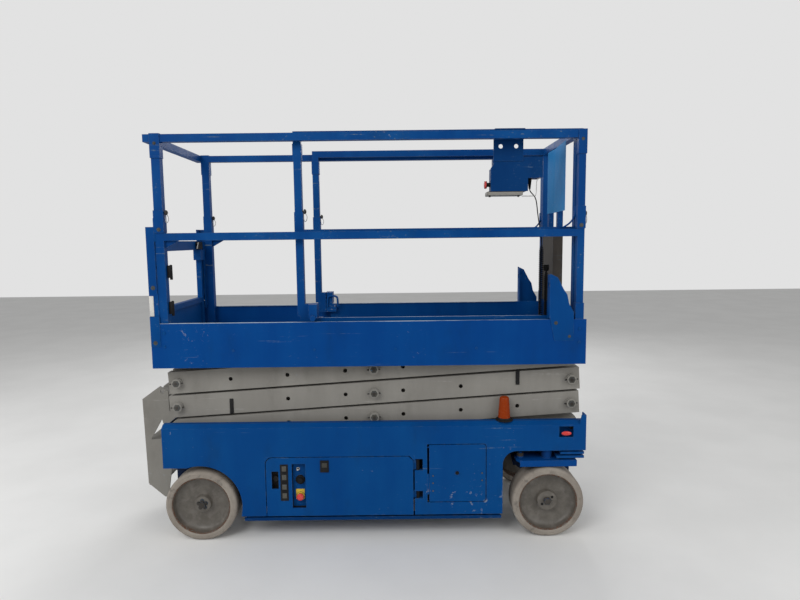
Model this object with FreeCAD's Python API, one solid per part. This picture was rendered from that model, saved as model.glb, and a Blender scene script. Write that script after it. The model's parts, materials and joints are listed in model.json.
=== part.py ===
import FreeCAD, Part
import math
import os

from FreeCAD import Vector

# A slab scissor lift, stowed and standing on its wheels. All sizes are in millimetres.
# X runs from the ladder end to the steered end, Y from the near side (negative) to the
# far side, Z up from the floor. Sizes called OUT are distances from the middle plane.

OVERALL_LENGTH = 2440.0
CHASSIS_FRONT_X = OVERALL_LENGTH / 2.0
LADDER_REAR_X = -OVERALL_LENGTH / 2.0

# Clearances
RUN_GAP = 0.05
SEAT_GAP = 0.2
SLIDE_GAP = 0.5

# Wheels and axles
REAR_AXLE_X = -825.0
WHEELBASE = 1850.0
FRONT_AXLE_X = REAR_AXLE_X + WHEELBASE
MACHINE_HALF_WIDTH = 405.0
WHEEL_OUT = MACHINE_HALF_WIDTH
TYRE_RADIUS = 190.5
TYRE_WIDTH = 127.0
TYRE_SHOULDER = 11.0
RIM_RADIUS = 155.0
RIM_WALL = 5.0
RIM_EDGE_INSET = 4.0
RIM_DISC_INSET = 55.0
RIM_DISC_THICK = 8.0
HUB_LENGTH = 30.0
FRONT_HUB_RADIUS = 53.0
REAR_HUB_RADIUS = 44.0
AXLE_RADIUS = 20.0
AXLE_NUT_RADIUS = 17.0
AXLE_NUT_LENGTH = 12.0
WHEEL_CENTRE_OUT = WHEEL_OUT - TYRE_WIDTH / 2.0
WHEEL_INNER_OUT = WHEEL_OUT - TYRE_WIDTH
DISC_OUT = WHEEL_OUT - RIM_DISC_INSET

# Chassis body
SKIRT_OUT = MACHINE_HALF_WIDTH - 5.0
SKIRT_THICK = 8.0
SKIRT_INNER_OUT = SKIRT_OUT - SKIRT_THICK
CHASSIS_REAR_X = REAR_AXLE_X - 192.0
SKIRT_TOP_Z = 614.0
BEVEL_RISE = 18.0
BEVEL_RUN = 25.0
BEVEL_TOP_Z = SKIRT_TOP_Z + BEVEL_RISE
BELLY_Z = 130.0
REAR_BELLY_Z = 400.0
REAR_ARCH_RADIUS = 220.0
REAR_OVERHANG_END_X = -785.0
FRONT_ARCH_X = FRONT_AXLE_X - 243.0
FRONT_ARCH_Z = 475.0
FRONT_ARCH_CORNER = 75.0
SHEET = 6.0
FLOOR_Z = 500.0
LIP_LENGTH = 35.0
LIP_RISE = 34.0
REFLECTOR_X = (1078.0, 1154.0)
REFLECTOR_Z = (547.0, 606.0)

# Spine and axle boxes under the floor
SPINE_OUT = 170.0
SPINE_FRONT_X = FRONT_ARCH_X - 2.0
SPINE_BOTTOM_Z = 109.0
REAR_BOX_OUT = 230.0
REAR_BOX_BOTTOM_Z = 150.0
FRONT_BOX_OUT = 128.0
FRONT_BOX_REAR_X = FRONT_AXLE_X + 20.0
FRONT_BOX_BOTTOM_Z = 250.0
END_PLATE_Z = 515.0

# Scissor stack: arms cross at their middles, each level one pitch above the last
ARM_PIVOT_X = -948.0
ARM_SPAN = 2104.0
ARM_FIRST_Z = 583.0
ARM_PITCH = 130.0
ARM_DEPTH = 118.0
ARM_WALL = 6.0
ARM_END = 48.0
ARM_ROUND_END = 57.0
LEVELS = 3
INNER_ARM_OUT = (213.0, 263.0)
OUTER_ARM_OUT = (268.0, 318.0)
PIN_RADIUS = 16.0
PIN_COLLAR_RADIUS = 26.0
PIN_COLLAR_LENGTH = 9.0
PIN_TIP = 5.0
CROSS_SHAFT_RADIUS = 20.0
HOLE_RADIUS = 11.0
HOLE_STATIONS = (155.0, 465.0, 770.0)
ARM_SLIDE_X = ARM_PIVOT_X + ARM_SPAN
ARM_MIDDLE_X = ARM_PIVOT_X + ARM_SPAN / 2.0
ARM_LENGTH = math.hypot(ARM_SPAN, ARM_PITCH)
ARM_REST_ANGLE = math.degrees(math.atan2(ARM_PITCH, ARM_SPAN))

# Slider tracks, one pair on the chassis and one under the platform
TRACK_OUT = 345.0
TRACK_REAR_X = 90.0
TRACK_FRONT_X = 1200.0
TRACK_FLANGE = 20.0
PAD_HALF_HEIGHT = 24.0
PAD_HALF_LENGTH = 38.0
PAD_THICK = 20.0

# Lift cylinder, between the end shafts of the lowest and highest inner arms
CYLINDER_STATION = 910.0
CYLINDER_OFFSET = 30.0
BARREL_RADIUS = 42.0
BARREL_BORE = 34.0
BARREL_LENGTH = 1690.0
ROD_RADIUS = 22.0
EYE_RADIUS = 34.0
EYE_HALF_WIDTH = 32.0
CYLINDER_PIN_RADIUS = 15.0
LUG_OUT = (52.0, 64.0)
LUG_HALF_DEPTH = 30.0

# Steering
KINGPIN_RADIUS = 20.0
KINGPIN_TUBE_RADIUS = 30.0
KINGPIN_TUBE_BOTTOM_Z = 424.0
KINGPIN_TOP_Z = 486.0
YOKE_TOP_Z = 420.0
YOKE_THICK = 12.0
YOKE_REAR = 165.0
YOKE_FRONT = 150.0
YOKE_OUTER_OUT = 398.0
YOKE_FLANGE_Z = 387.0
KNUCKLE_OUT = (262.0, 272.0)
KNUCKLE_TOP_HALF = 110.0
KNUCKLE_FOOT_HALF = 55.0
KNUCKLE_FOOT_DROP = 60.0
HUB_MOTOR_RADIUS = 62.0
HUB_MOTOR_LENGTH = 55.0
STEER_ARM = 140.0
TIE_PIN_RADIUS = 10.0
TIE_EYE_RADIUS = 18.0
TIE_ROD_RADIUS = 10.0
TIE_ROD_Z = (428.0, 446.0)

# Swing-out trays, service door and pothole guards
TRAY_X = (-474.0, 307.0)
TRAY_TOP_Z = 451.0
TRAY_CORNER = 35.0
TRAY_CHAMFER = 24.0
TRAY_GAP = 4.0
TRAY_HINGE_GAP = 8.0
TRAY_HINGE_X = TRAY_X[1] + 25.0
TRAY_HINGE_OUT = SKIRT_OUT - 14.0
TRAY_PIN_RADIUS = 5.0
TRAY_EAR_RADIUS = 9.0
HINGE_SLOTS = ((374.0, 437.0), (219.0, 261.0))
HINGE_SLOT_END_X = 358.0
TRAY_FLOOR_X = (-440.0, 300.0)
TRAY_FLOOR_Z = 136.0
TRAY_INNER_OUT = 180.0
DOOR_X = (392.5, 692.0)
DOOR_Z = (201.0, 513.0)
DOOR_THICK = 6.0
DOOR_CORNER = 14.0
DOOR_HINGE_X = DOOR_X[0] - 6.0
DOOR_HINGE_OUT = SKIRT_OUT - 2.0
DOOR_KNUCKLE_RADIUS = 5.0
DOOR_PIN_RADIUS = 2.5
DOOR_HINGE_Z = (243.0, 268.0, 329.0, 354.0)
GUARD_X = (-598.0, 778.0)
GUARD_OUT = (SKIRT_OUT - 94.0, SKIRT_OUT - 10.0)
GUARD_Z = (100.0, 118.0)
GUARD_THICK = 4.0
GUARD_HINGE_OUT = SKIRT_OUT - 28.0
GUARD_HINGE_Z = 112.0
GUARD_PIN_RADIUS = 5.0
GUARD_EAR_RADIUS = 9.0
GUARD_STATIONS = (-520.0, 90.0, 720.0)

# Platform
DECK_X = (-1041.0, 1208.0)
DECK_TOP_Z = 1042.0
DECK_THICK = 4.0
TOE_OUT = MACHINE_HALF_WIDTH - 3.0
DECK_OUT = TOE_OUT - 3.2
TOE_THICK = 3.0
TOE_Z = (940.0, 1175.0)
RAIL = 38.0
RAIL_OUT = TOE_OUT - 7.0
RAIL_TOP_Z = 2130.0
MID_RAIL_TOP_Z = 1638.0
SLEEVE_WALL = 3.5
REAR_POST_X = (-995.0, -951.0)
FRONT_POST_X = (1154.0, 1190.0)
REAR_BAR_X = (-1033.0, -995.0)
FOLD_SLEEVE_Z = (1640.0, 1753.0)
ENTRY_PLATE_X = (-1041.0, -999.0)
ENTRY_PLATE_Z = (1215.0, 1670.0)
ENTRY_NECK_Z = 1320.0

# Gate across the entry, hung on the near side
GATE_X = -1018.0
GATE_TUBE = 30.0
GATE_HINGE_OUT = 325.0
GATE_LATCH_OUT = 316.0
GATE_Z = (1052.0, 1598.0)
GATE_TOP_BAR = 54.0
GATE_KICK_Z = 1215.0

# Roll-out extension deck
EXT_X = (-200.0, 1188.0)
EXT_DECK_TOP_Z = 1050.0
EXT_TOE_OUT = 351.0
EXT_TOE_TOP_Z = 1190.0
EXT_RAIL_OUT = 348.0
EXT_TOP_Z = 2145.0
EXT_MID_TOP_Z = 1650.0
EXT_POST_X = (-290.0, -252.0)
EXT_FRONT_POST_X = (1150.0, 1188.0)

# Front rail panel, storage box, controls and anchor brackets
PANEL_Y = (-255.0, 190.0)
PANEL_FOLD_Y = 32.0
PANEL_THICK = 2.5
PANEL_Z = (1738.0, 2101.0)
PANEL_FOLD = 22.0
BOX_X = (1096.0, 1146.0)
BOX_Y = (-147.0, 87.0)
BOX_Z = (1234.0, 1640.0)
ANCHOR_OUT = (402.0, 405.0)
ANCHOR_THICK = 6.0
ANCHOR_BORE = 16.0
ANCHOR_BORE_Z = 1350.0
COIL_RADIUS = 13.0

NEAR = -1
FAR = 1
SIDES = (("near", NEAR), ("far", FAR))


def block(x, y, z):
    """Box between low and high values along each axis."""
    size = (x[1] - x[0], y[1] - y[0], z[1] - z[0])
    return Part.makeBox(size[0], size[1], size[2], Vector(x[0], y[0], z[0]))


def rod_x(x, y, z, radius):
    return Part.makeCylinder(radius, x[1] - x[0], Vector(x[0], y, z), Vector(1, 0, 0))


def rod_y(x, y, z, radius):
    return Part.makeCylinder(radius, y[1] - y[0], Vector(x, y[0], z), Vector(0, 1, 0))


def rod_z(x, y, z, radius):
    return Part.makeCylinder(radius, z[1] - z[0], Vector(x, y, z[0]), Vector(0, 0, 1))


def face_of(corners):
    return Part.Face(Part.makePolygon(corners + [corners[0]]))


def plate_xz(points, y):
    """Flat plate whose outline is given as (x, z) points."""
    corners = [Vector(px, y[0], pz) for px, pz in points]
    return face_of(corners).extrude(Vector(0, y[1] - y[0], 0))


def plate_yz(points, x):
    """Flat plate or long profile whose outline is given as (y, z) points."""
    corners = [Vector(x[0], py, pz) for py, pz in points]
    return face_of(corners).extrude(Vector(x[1] - x[0], 0, 0))


def plate_xy(points, z):
    """Flat plate whose outline is given as (x, y) points."""
    corners = [Vector(px, py, z[0]) for px, py in points]
    return face_of(corners).extrude(Vector(0, 0, z[1] - z[0]))


def turned(profile, x, z):
    """Body of revolution about a line along Y, from (radius, out) points."""
    corners = [Vector(x + radius, out, z) for radius, out in profile]
    return face_of(corners).revolve(Vector(x, 0, z), Vector(0, 1, 0), 360)


def fused(shapes):
    first = shapes[0]
    return first.multiFuse(shapes[1:]).removeSplitter()


def cut(shape, tools):
    return shape.cut(Part.makeCompound(tools))


def mirrored(shape):
    return shape.mirror(Vector(0, 0, 0), Vector(0, 1, 0))


def on_side(shape, side):
    """A piece drawn on the far side, moved to the side that is asked for."""
    if side == FAR:
        return shape
    return mirrored(shape)


def both_sides(shape):
    return [shape, mirrored(shape)]


def save(name, shapes):
    shape = shapes[0]
    if len(shapes) > 1:
        shape = Part.makeCompound(shapes)
    shape.exportStep("parts/" + name + ".step")


def skirt_outline():
    """Side sheet from the rear overhang, over the arches, to the front end."""
    return [
        (CHASSIS_REAR_X, REAR_BELLY_Z),
        (REAR_OVERHANG_END_X, REAR_BELLY_Z),
        (REAR_AXLE_X + REAR_ARCH_RADIUS - SHEET, BELLY_Z),
        (FRONT_ARCH_X, BELLY_Z),
        (FRONT_ARCH_X, FRONT_ARCH_Z - FRONT_ARCH_CORNER),
        (FRONT_ARCH_X + FRONT_ARCH_CORNER, FRONT_ARCH_Z),
        (CHASSIS_FRONT_X, FRONT_ARCH_Z),
        (CHASSIS_FRONT_X, SKIRT_TOP_Z),
        (CHASSIS_REAR_X, SKIRT_TOP_Z),
    ]


def tray_opening():
    gap = TRAY_GAP
    slot_x = (TRAY_X[1], HINGE_SLOT_END_X)
    through = (SKIRT_INNER_OUT - 1.0, SKIRT_OUT + 1.0)
    left = TRAY_X[0] - gap
    right = TRAY_X[1] + TRAY_HINGE_GAP
    top = TRAY_TOP_Z + gap
    main = block((left, right), through, (BELLY_Z - 1.0, top))
    slots = [block(slot_x, through, slot_z) for slot_z in HINGE_SLOTS]
    return [main] + slots


def slider_track(bottom_z, top_z, web_z):
    """Channel that opens inward, for the far side."""
    inner = TRACK_OUT - TRACK_FLANGE
    web = block((TRACK_REAR_X, TRACK_FRONT_X), (TRACK_OUT, TRACK_OUT + SHEET), web_z)
    parts = [web]
    for low in (bottom_z - SHEET, top_z):
        flange_x = (TRACK_REAR_X, TRACK_FRONT_X)
        parts.append(block(flange_x, (inner, TRACK_OUT + SHEET), (low, low + SHEET)))
    return fused(parts)


def chassis_side(side):
    skirt = plate_xz(skirt_outline(), (SKIRT_INNER_OUT, SKIRT_OUT))
    arch = rod_y(REAR_AXLE_X, (SKIRT_INNER_OUT - 1.0, SKIRT_OUT + 1.0), TYRE_RADIUS, REAR_ARCH_RADIUS)
    corner_x = FRONT_ARCH_X + FRONT_ARCH_CORNER
    corner_z = FRONT_ARCH_Z - FRONT_ARCH_CORNER
    round_corner = rod_y(corner_x, (SKIRT_INNER_OUT - 1.0, SKIRT_OUT + 1.0), corner_z, FRONT_ARCH_CORNER)
    through = (SKIRT_INNER_OUT - 1.0, SKIRT_OUT + 1.0)
    tools = [arch, round_corner, block(REFLECTOR_X, through, REFLECTOR_Z)]
    tools += tray_opening()
    if side == NEAR:
        door_x = (DOOR_HINGE_X - DOOR_KNUCKLE_RADIUS, DOOR_X[1] + TRAY_GAP)
        door_z = (DOOR_Z[0] - TRAY_GAP, DOOR_Z[1] + TRAY_GAP)
        tools.append(block(door_x, through, door_z))
    skirt = cut(skirt, tools)
    full_x = (CHASSIS_REAR_X, CHASSIS_FRONT_X)
    inner = SKIRT_OUT - BEVEL_RUN
    cap = [
        (SKIRT_OUT, SKIRT_TOP_Z),
        (inner, BEVEL_TOP_Z),
        (TRACK_OUT, BEVEL_TOP_Z),
        (TRACK_OUT, BEVEL_TOP_Z - SHEET),
        (inner - SHEET / 3.0, BEVEL_TOP_Z - SHEET),
        (SKIRT_INNER_OUT, SKIRT_TOP_Z - SHEET),
    ]
    bevel = plate_yz(cap, full_x)
    pad_z = (ARM_FIRST_Z - PAD_HALF_HEIGHT - SLIDE_GAP, ARM_FIRST_Z + PAD_HALF_HEIGHT + SLIDE_GAP)
    track = slider_track(pad_z[0], pad_z[1], (FLOOR_Z, BEVEL_TOP_Z))
    rear_web = block((CHASSIS_REAR_X, TRACK_REAR_X), (TRACK_OUT, TRACK_OUT + SHEET), (FLOOR_Z, BEVEL_TOP_Z))
    lip_x = CHASSIS_FRONT_X - LIP_LENGTH
    lip_top = BEVEL_TOP_Z + LIP_RISE
    lip = [
        (lip_x, SKIRT_TOP_Z - SHEET),
        (lip_x + LIP_LENGTH / 3.0, lip_top),
        (CHASSIS_FRONT_X, lip_top),
        (CHASSIS_FRONT_X, SKIRT_TOP_Z - SHEET),
    ]
    lip_side = plate_xz(lip, (SKIRT_INNER_OUT, SKIRT_OUT))
    lip_end = block((CHASSIS_FRONT_X - SHEET, CHASSIS_FRONT_X), (TRACK_OUT, SKIRT_OUT), (FLOOR_Z, lip_top))
    pieces = [skirt, bevel, track, rear_web, lip_side, lip_end]
    if side == NEAR:
        pieces.append(door_hinge_leaf())
    pieces += tray_hinge_ears()
    return on_side(fused(pieces), side)


def tray_hinge_ears():
    """Fixed ears above and below each hinge slot, with the pin between them."""
    ears = []
    for low, high in HINGE_SLOTS:
        bracket_x = (TRAY_HINGE_X - TRAY_EAR_RADIUS, HINGE_SLOT_END_X + SHEET)
        bracket_y = (TRAY_HINGE_OUT - TRAY_EAR_RADIUS, SKIRT_INNER_OUT)
        for ear_z in ((low - SHEET, low), (high, high + SHEET)):
            ears.append(block(bracket_x, bracket_y, ear_z))
        ears.append(rod_z(TRAY_HINGE_X, TRAY_HINGE_OUT, (low - SHEET, high + SHEET), TRAY_PIN_RADIUS))
    return ears


def door_hinge_leaf():
    z = DOOR_HINGE_Z
    leaf_x = (DOOR_HINGE_X - 3.0 * DOOR_KNUCKLE_RADIUS, DOOR_HINGE_X)
    leaf_y = (SKIRT_INNER_OUT, DOOR_HINGE_OUT)
    parts = []
    for low, high in ((z[0], z[1]), (z[2], z[3])):
        parts.append(rod_z(DOOR_HINGE_X, DOOR_HINGE_OUT, (low, high), DOOR_KNUCKLE_RADIUS))
        parts.append(block(leaf_x, leaf_y, (low, high)))
    parts.append(rod_z(DOOR_HINGE_X, DOOR_HINGE_OUT, (z[0], z[3]), DOOR_PIN_RADIUS))
    return fused(parts)


def guard_brackets():
    brackets = []
    for x in GUARD_STATIONS:
        arm_x = (x - SHEET, x + SHEET)
        arm_z = (SPINE_BOTTOM_Z, GUARD_HINGE_Z + SHEET)
        arm = block(arm_x, (SPINE_OUT - SHEET, GUARD_HINGE_OUT), arm_z)
        tip = rod_x(arm_x, GUARD_HINGE_OUT, GUARD_HINGE_Z, SHEET)
        pin_x = (x - 3.0 * SHEET, x + 3.0 * SHEET)
        pin = rod_x(pin_x, GUARD_HINGE_OUT, GUARD_HINGE_Z, GUARD_PIN_RADIUS)
        brackets.append(fused([arm, tip, pin]))
    return brackets


def kingpin_bore():
    span = (KINGPIN_TUBE_BOTTOM_Z - 1.0, KINGPIN_TOP_Z + SHEET)
    return rod_z(FRONT_AXLE_X, WHEEL_CENTRE_OUT, span, KINGPIN_RADIUS + RUN_GAP)


def chassis_frame():
    """Floor, spine, axle boxes and end plates, welded into one piece."""
    floor = block(
        (CHASSIS_REAR_X, CHASSIS_FRONT_X), (-SKIRT_INNER_OUT, SKIRT_INNER_OUT), (FLOOR_Z - SHEET, FLOOR_Z)
    )
    spine = block(
        (REAR_AXLE_X, SPINE_FRONT_X), (-SPINE_OUT, SPINE_OUT), (SPINE_BOTTOM_Z, FLOOR_Z - SHEET)
    )
    rear_x = (CHASSIS_REAR_X + SHEET, REAR_AXLE_X + REAR_ARCH_RADIUS)
    rear_box = block(rear_x, (-REAR_BOX_OUT, REAR_BOX_OUT), (REAR_BOX_BOTTOM_Z, FLOOR_Z - SHEET))
    rear_plate = block(
        (CHASSIS_REAR_X, CHASSIS_REAR_X + SHEET), (-TRACK_OUT, TRACK_OUT), (REAR_BELLY_Z, SKIRT_TOP_Z)
    )
    front_deck_x = (FRONT_ARCH_X - SHEET, CHASSIS_FRONT_X)
    front_deck = block(
        front_deck_x, (-SKIRT_INNER_OUT, SKIRT_INNER_OUT), (FRONT_ARCH_Z, FLOOR_Z - SHEET)
    )
    front_box = block(
        (FRONT_BOX_REAR_X, CHASSIS_FRONT_X - SHEET),
        (-FRONT_BOX_OUT, FRONT_BOX_OUT),
        (FRONT_BOX_BOTTOM_Z, FRONT_ARCH_Z),
    )
    front_plate = block(
        (CHASSIS_FRONT_X - SHEET, CHASSIS_FRONT_X), (-TRACK_OUT, TRACK_OUT), (FRONT_ARCH_Z, END_PLATE_Z)
    )
    pieces = [floor, spine, rear_box, rear_plate, front_deck, front_box, front_plate]
    door_floor_x = (DOOR_X[0], DOOR_X[1] + SHEET)
    door_floor_z = (DOOR_Z[0] - 3.0 * SHEET, DOOR_Z[0] - 2.0 * SHEET)
    pieces.append(block(door_floor_x, (-SKIRT_INNER_OUT, -SPINE_OUT), door_floor_z))
    for bracket in guard_brackets():
        pieces += both_sides(bracket)
    tube = rod_z(
        FRONT_AXLE_X, WHEEL_CENTRE_OUT, (KINGPIN_TUBE_BOTTOM_Z, FRONT_ARCH_Z), KINGPIN_TUBE_RADIUS
    )
    pieces += both_sides(tube)
    return cut(fused(pieces), both_sides(kingpin_bore()))


def rear_axle():
    """Fixed stub with its end nut, welded to the rear axle box."""
    stub = rod_y(REAR_AXLE_X, (REAR_BOX_OUT, DISC_OUT + HUB_LENGTH), TYRE_RADIUS, AXLE_RADIUS)
    nut_y = (DISC_OUT + HUB_LENGTH, DISC_OUT + HUB_LENGTH + AXLE_NUT_LENGTH)
    nut = rod_y(REAR_AXLE_X, nut_y, TYRE_RADIUS, AXLE_NUT_RADIUS)
    flange = rod_y(REAR_AXLE_X, (REAR_BOX_OUT, WHEEL_INNER_OUT - SHEET), TYRE_RADIUS, REAR_HUB_RADIUS)
    return fused([stub, nut, flange])


def pivot_bracket(z, foot_z, shaft_out):
    """Clevis at the fixed end of the stack, standing on or hanging from a plate."""
    plates = []
    half = PIN_COLLAR_RADIUS + SHEET
    x = (ARM_PIVOT_X - half, ARM_PIVOT_X + half)
    low = min(z - half, foot_z)
    high = max(z + half, foot_z)
    for out in shaft_out:
        plates.append(block(x, (out, out + SHEET), (low, high)))
    return plates


def lower_pivots():
    """Clevis plates and pins of the lowest outer arms."""
    inner = OUTER_ARM_OUT[0] - SHEET - SLIDE_GAP
    outer = OUTER_ARM_OUT[1] + SLIDE_GAP
    plates = pivot_bracket(ARM_FIRST_Z, FLOOR_Z, (inner, outer))
    pin_y = (inner, outer + SHEET + PIN_TIP)
    pin = rod_y(ARM_PIVOT_X, pin_y, ARM_FIRST_Z, PIN_RADIUS)
    return both_sides(fused(plates + [pin]))


def ladder_side():
    outline = [
        (LADDER_REAR_X, 709.0),
        (-1116.0, 783.0),
        (-1071.0, 754.0),
        (-1071.0, 640.0),
        (CHASSIS_REAR_X - SEAT_GAP, 604.0),
        (CHASSIS_REAR_X - SEAT_GAP, 408.0),
        (-1062.0, 372.0),
        (-1100.0, 132.0),
        (-1120.0, 132.0),
        (-1211.0, 213.0),
    ]
    window = [(-1115.0, 591.0), (-1182.0, 474.0), (-1085.0, 474.0)]
    side = plate_xz(outline, (144.0, 150.0))
    hole = rod_y(-1104.0, (143.0, 151.0), 753.0, 12.0)
    return cut(side, [hole, plate_xz(window, (143.0, 151.0))])


LADDER_TREADS = (
    # rear x, front x, top z
    (-1208.0, -1118.0, 226.0),
    (-1213.0, -1078.0, 466.0),
    (-1216.0, -1108.0, 706.0),
)


def entry_ladder():
    pieces = both_sides(ladder_side())
    for rear, front, top in LADDER_TREADS:
        tread = block((rear, front), (-147.0, 147.0), (top - SHEET, top))
        lip = block((rear, rear + SHEET), (-147.0, 147.0), (top - 4.0 * SHEET, top))
        pieces += [tread, lip]
    return fused(pieces)


BEACON_PLACE = (795.0, 357.0)
BEACON_FOOT_RADIUS = 46.0
BEACON_FOOT_THICK = 6.0
BEACON_BASE_HEIGHT = 14.0
BEACON_LENS_RADII = (33.0, 25.0, 14.0)
BEACON_LENS_HEIGHT = 104.0
BEACON_CAP_HEIGHT = 12.0
BEACON_ARM_GAP = 5.5


def beacon():
    """Domed warning lamp on a low round base, cut flat beside the arms."""
    x, out = BEACON_PLACE
    foot_z = BEVEL_TOP_Z + SEAT_GAP
    base_z = BEVEL_TOP_Z + BEACON_BASE_HEIGHT
    foot = rod_z(x, out, (foot_z, foot_z + BEACON_FOOT_THICK), BEACON_FOOT_RADIUS)
    base = rod_z(x, out, (foot_z, base_z), BEACON_LENS_RADII[0] + 2.0)
    keep_y = (OUTER_ARM_OUT[1] + BEACON_ARM_GAP, SKIRT_OUT + 3.0)
    keep = block((x - BEACON_FOOT_RADIUS, x + BEACON_FOOT_RADIUS), keep_y, (foot_z, base_z))
    foot = foot.common(keep)
    wide, narrow, tip = BEACON_LENS_RADII
    lens = Part.makeCone(wide, narrow, BEACON_LENS_HEIGHT, Vector(x, out, base_z))
    top_z = base_z + BEACON_LENS_HEIGHT
    cap = Part.makeCone(narrow, tip, BEACON_CAP_HEIGHT, Vector(x, out, top_z))
    return on_side(fused([foot, base, lens, cap]), NEAR)


def front_brackets():
    """Stacked tow and tie-down plates under the front corners."""
    parts = []
    for low, inset in ((430.0, 0.0), (452.0, 20.0)):
        x = (1070.0 + inset, CHASSIS_FRONT_X - SHEET)
        parts.append(block(x, (300.0 + inset, SKIRT_INNER_OUT - SEAT_GAP), (low, low + 2.0 * SHEET)))
    post = block((1130.0, 1200.0), (330.0, 370.0), (430.0, FRONT_ARCH_Z - SEAT_GAP))
    return fused(parts + [post])


def tyre(x, side):
    inner = WHEEL_INNER_OUT
    shoulder = TYRE_SHOULDER
    profile = [
        (RIM_RADIUS + SEAT_GAP, inner + RIM_EDGE_INSET),
        (TYRE_RADIUS - shoulder, inner),
        (TYRE_RADIUS, inner + shoulder),
        (TYRE_RADIUS, WHEEL_OUT - shoulder),
        (TYRE_RADIUS - shoulder, WHEEL_OUT),
        (RIM_RADIUS + SEAT_GAP, WHEEL_OUT - RIM_EDGE_INSET),
    ]
    return on_side(turned(profile, x, TYRE_RADIUS), side)


# Share of the rim's inner radius, height above the bowl's floor.
RIM_BOWL = ((0.985, 33.0), (0.94, 19.0), (0.84, 9.0), (0.66, 3.0))


def rim(x, side, hub_radius):
    bore = AXLE_RADIUS + RUN_GAP
    wall = RIM_RADIUS - RIM_WALL
    disc_inner = DISC_OUT - RIM_DISC_THICK
    profile = [
        (bore, disc_inner),
        (wall, disc_inner),
        (wall, WHEEL_INNER_OUT + RIM_EDGE_INSET),
        (RIM_RADIUS, WHEEL_INNER_OUT + RIM_EDGE_INSET),
        (RIM_RADIUS, WHEEL_OUT - RIM_EDGE_INSET),
        (wall, WHEEL_OUT - RIM_EDGE_INSET),
    ]
    profile += [(radius * wall, DISC_OUT + rise) for radius, rise in RIM_BOWL]
    profile += [
        (hub_radius, DISC_OUT),
        (hub_radius, DISC_OUT + HUB_LENGTH - SLIDE_GAP),
        (bore, DISC_OUT + HUB_LENGTH - SLIDE_GAP),
    ]
    return on_side(turned(profile, x, TYRE_RADIUS), side)


def knuckle(side):
    """Kingpin, yoke plate, side plate, hub motor and stub axle of a steered wheel."""
    x = FRONT_AXLE_X
    low = YOKE_TOP_Z - YOKE_THICK
    top_points = [
        (x - YOKE_REAR, WHEEL_CENTRE_OUT - 24.0),
        (x - YOKE_REAR + 30.0, KNUCKLE_OUT[0]),
        (x + YOKE_FRONT - 20.0, KNUCKLE_OUT[0]),
        (x + YOKE_FRONT, KNUCKLE_OUT[0] + 20.0),
        (x + YOKE_FRONT, YOKE_OUTER_OUT),
        (x - YOKE_FRONT, YOKE_OUTER_OUT),
        (x - YOKE_REAR, WHEEL_CENTRE_OUT + 24.0),
    ]
    top = plate_xy(top_points, (low, YOKE_TOP_Z))
    flange_y = (YOKE_OUTER_OUT - SHEET, YOKE_OUTER_OUT)
    flange = block((x - YOKE_FRONT, x + YOKE_FRONT), flange_y, (YOKE_FLANGE_Z, low))
    side_points = [
        (x - KNUCKLE_TOP_HALF, low),
        (x - KNUCKLE_FOOT_HALF - 15.0, TYRE_RADIUS),
        (x - KNUCKLE_FOOT_HALF, TYRE_RADIUS - KNUCKLE_FOOT_DROP),
        (x + KNUCKLE_FOOT_HALF, TYRE_RADIUS - KNUCKLE_FOOT_DROP),
        (x + KNUCKLE_FOOT_HALF + 15.0, TYRE_RADIUS),
        (x + KNUCKLE_TOP_HALF, low),
    ]
    plate = plate_xz(side_points, KNUCKLE_OUT)
    motor_y = (KNUCKLE_OUT[0] - HUB_MOTOR_LENGTH, KNUCKLE_OUT[0])
    motor = rod_y(x, motor_y, TYRE_RADIUS, HUB_MOTOR_RADIUS)
    stub = rod_y(x, (KNUCKLE_OUT[1], DISC_OUT + HUB_LENGTH), TYRE_RADIUS, AXLE_RADIUS)
    nut_y = (DISC_OUT + HUB_LENGTH, DISC_OUT + HUB_LENGTH + AXLE_NUT_LENGTH)
    nut = rod_y(x, nut_y, TYRE_RADIUS, AXLE_NUT_RADIUS)
    kingpin = rod_z(x, WHEEL_CENTRE_OUT, (YOKE_TOP_Z, KINGPIN_TOP_Z), KINGPIN_RADIUS)
    pin_z = (YOKE_TOP_Z, TIE_ROD_Z[1] + PIN_TIP)
    tie_pin = rod_z(x - STEER_ARM, WHEEL_CENTRE_OUT, pin_z, TIE_PIN_RADIUS)
    collar = rod_z(x, WHEEL_CENTRE_OUT, (YOKE_TOP_Z, KINGPIN_TUBE_BOTTOM_Z - SLIDE_GAP), KINGPIN_TUBE_RADIUS)
    tie_collar_z = (YOKE_TOP_Z, TIE_ROD_Z[0] - SLIDE_GAP)
    tie_collar = rod_z(x - STEER_ARM, WHEEL_CENTRE_OUT, tie_collar_z, TIE_EYE_RADIUS)
    pieces = [top, flange, plate, motor, stub, nut, kingpin, tie_pin, collar, tie_collar]
    return on_side(fused(pieces), side)


def tie_rod():
    x = FRONT_AXLE_X - STEER_ARM
    mid_z = (TIE_ROD_Z[0] + TIE_ROD_Z[1]) / 2.0
    eye = rod_z(x, WHEEL_CENTRE_OUT, TIE_ROD_Z, TIE_EYE_RADIUS)
    bar = rod_y(x, (-WHEEL_CENTRE_OUT, WHEEL_CENTRE_OUT), mid_z, TIE_ROD_RADIUS - 2.0)
    bore_z = (TIE_ROD_Z[0] - 1.0, TIE_ROD_Z[1] + 1.0)
    bore = rod_z(x, WHEEL_CENTRE_OUT, bore_z, TIE_PIN_RADIUS + RUN_GAP)
    return cut(fused(both_sides(eye) + [bar]), both_sides(bore))


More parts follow.
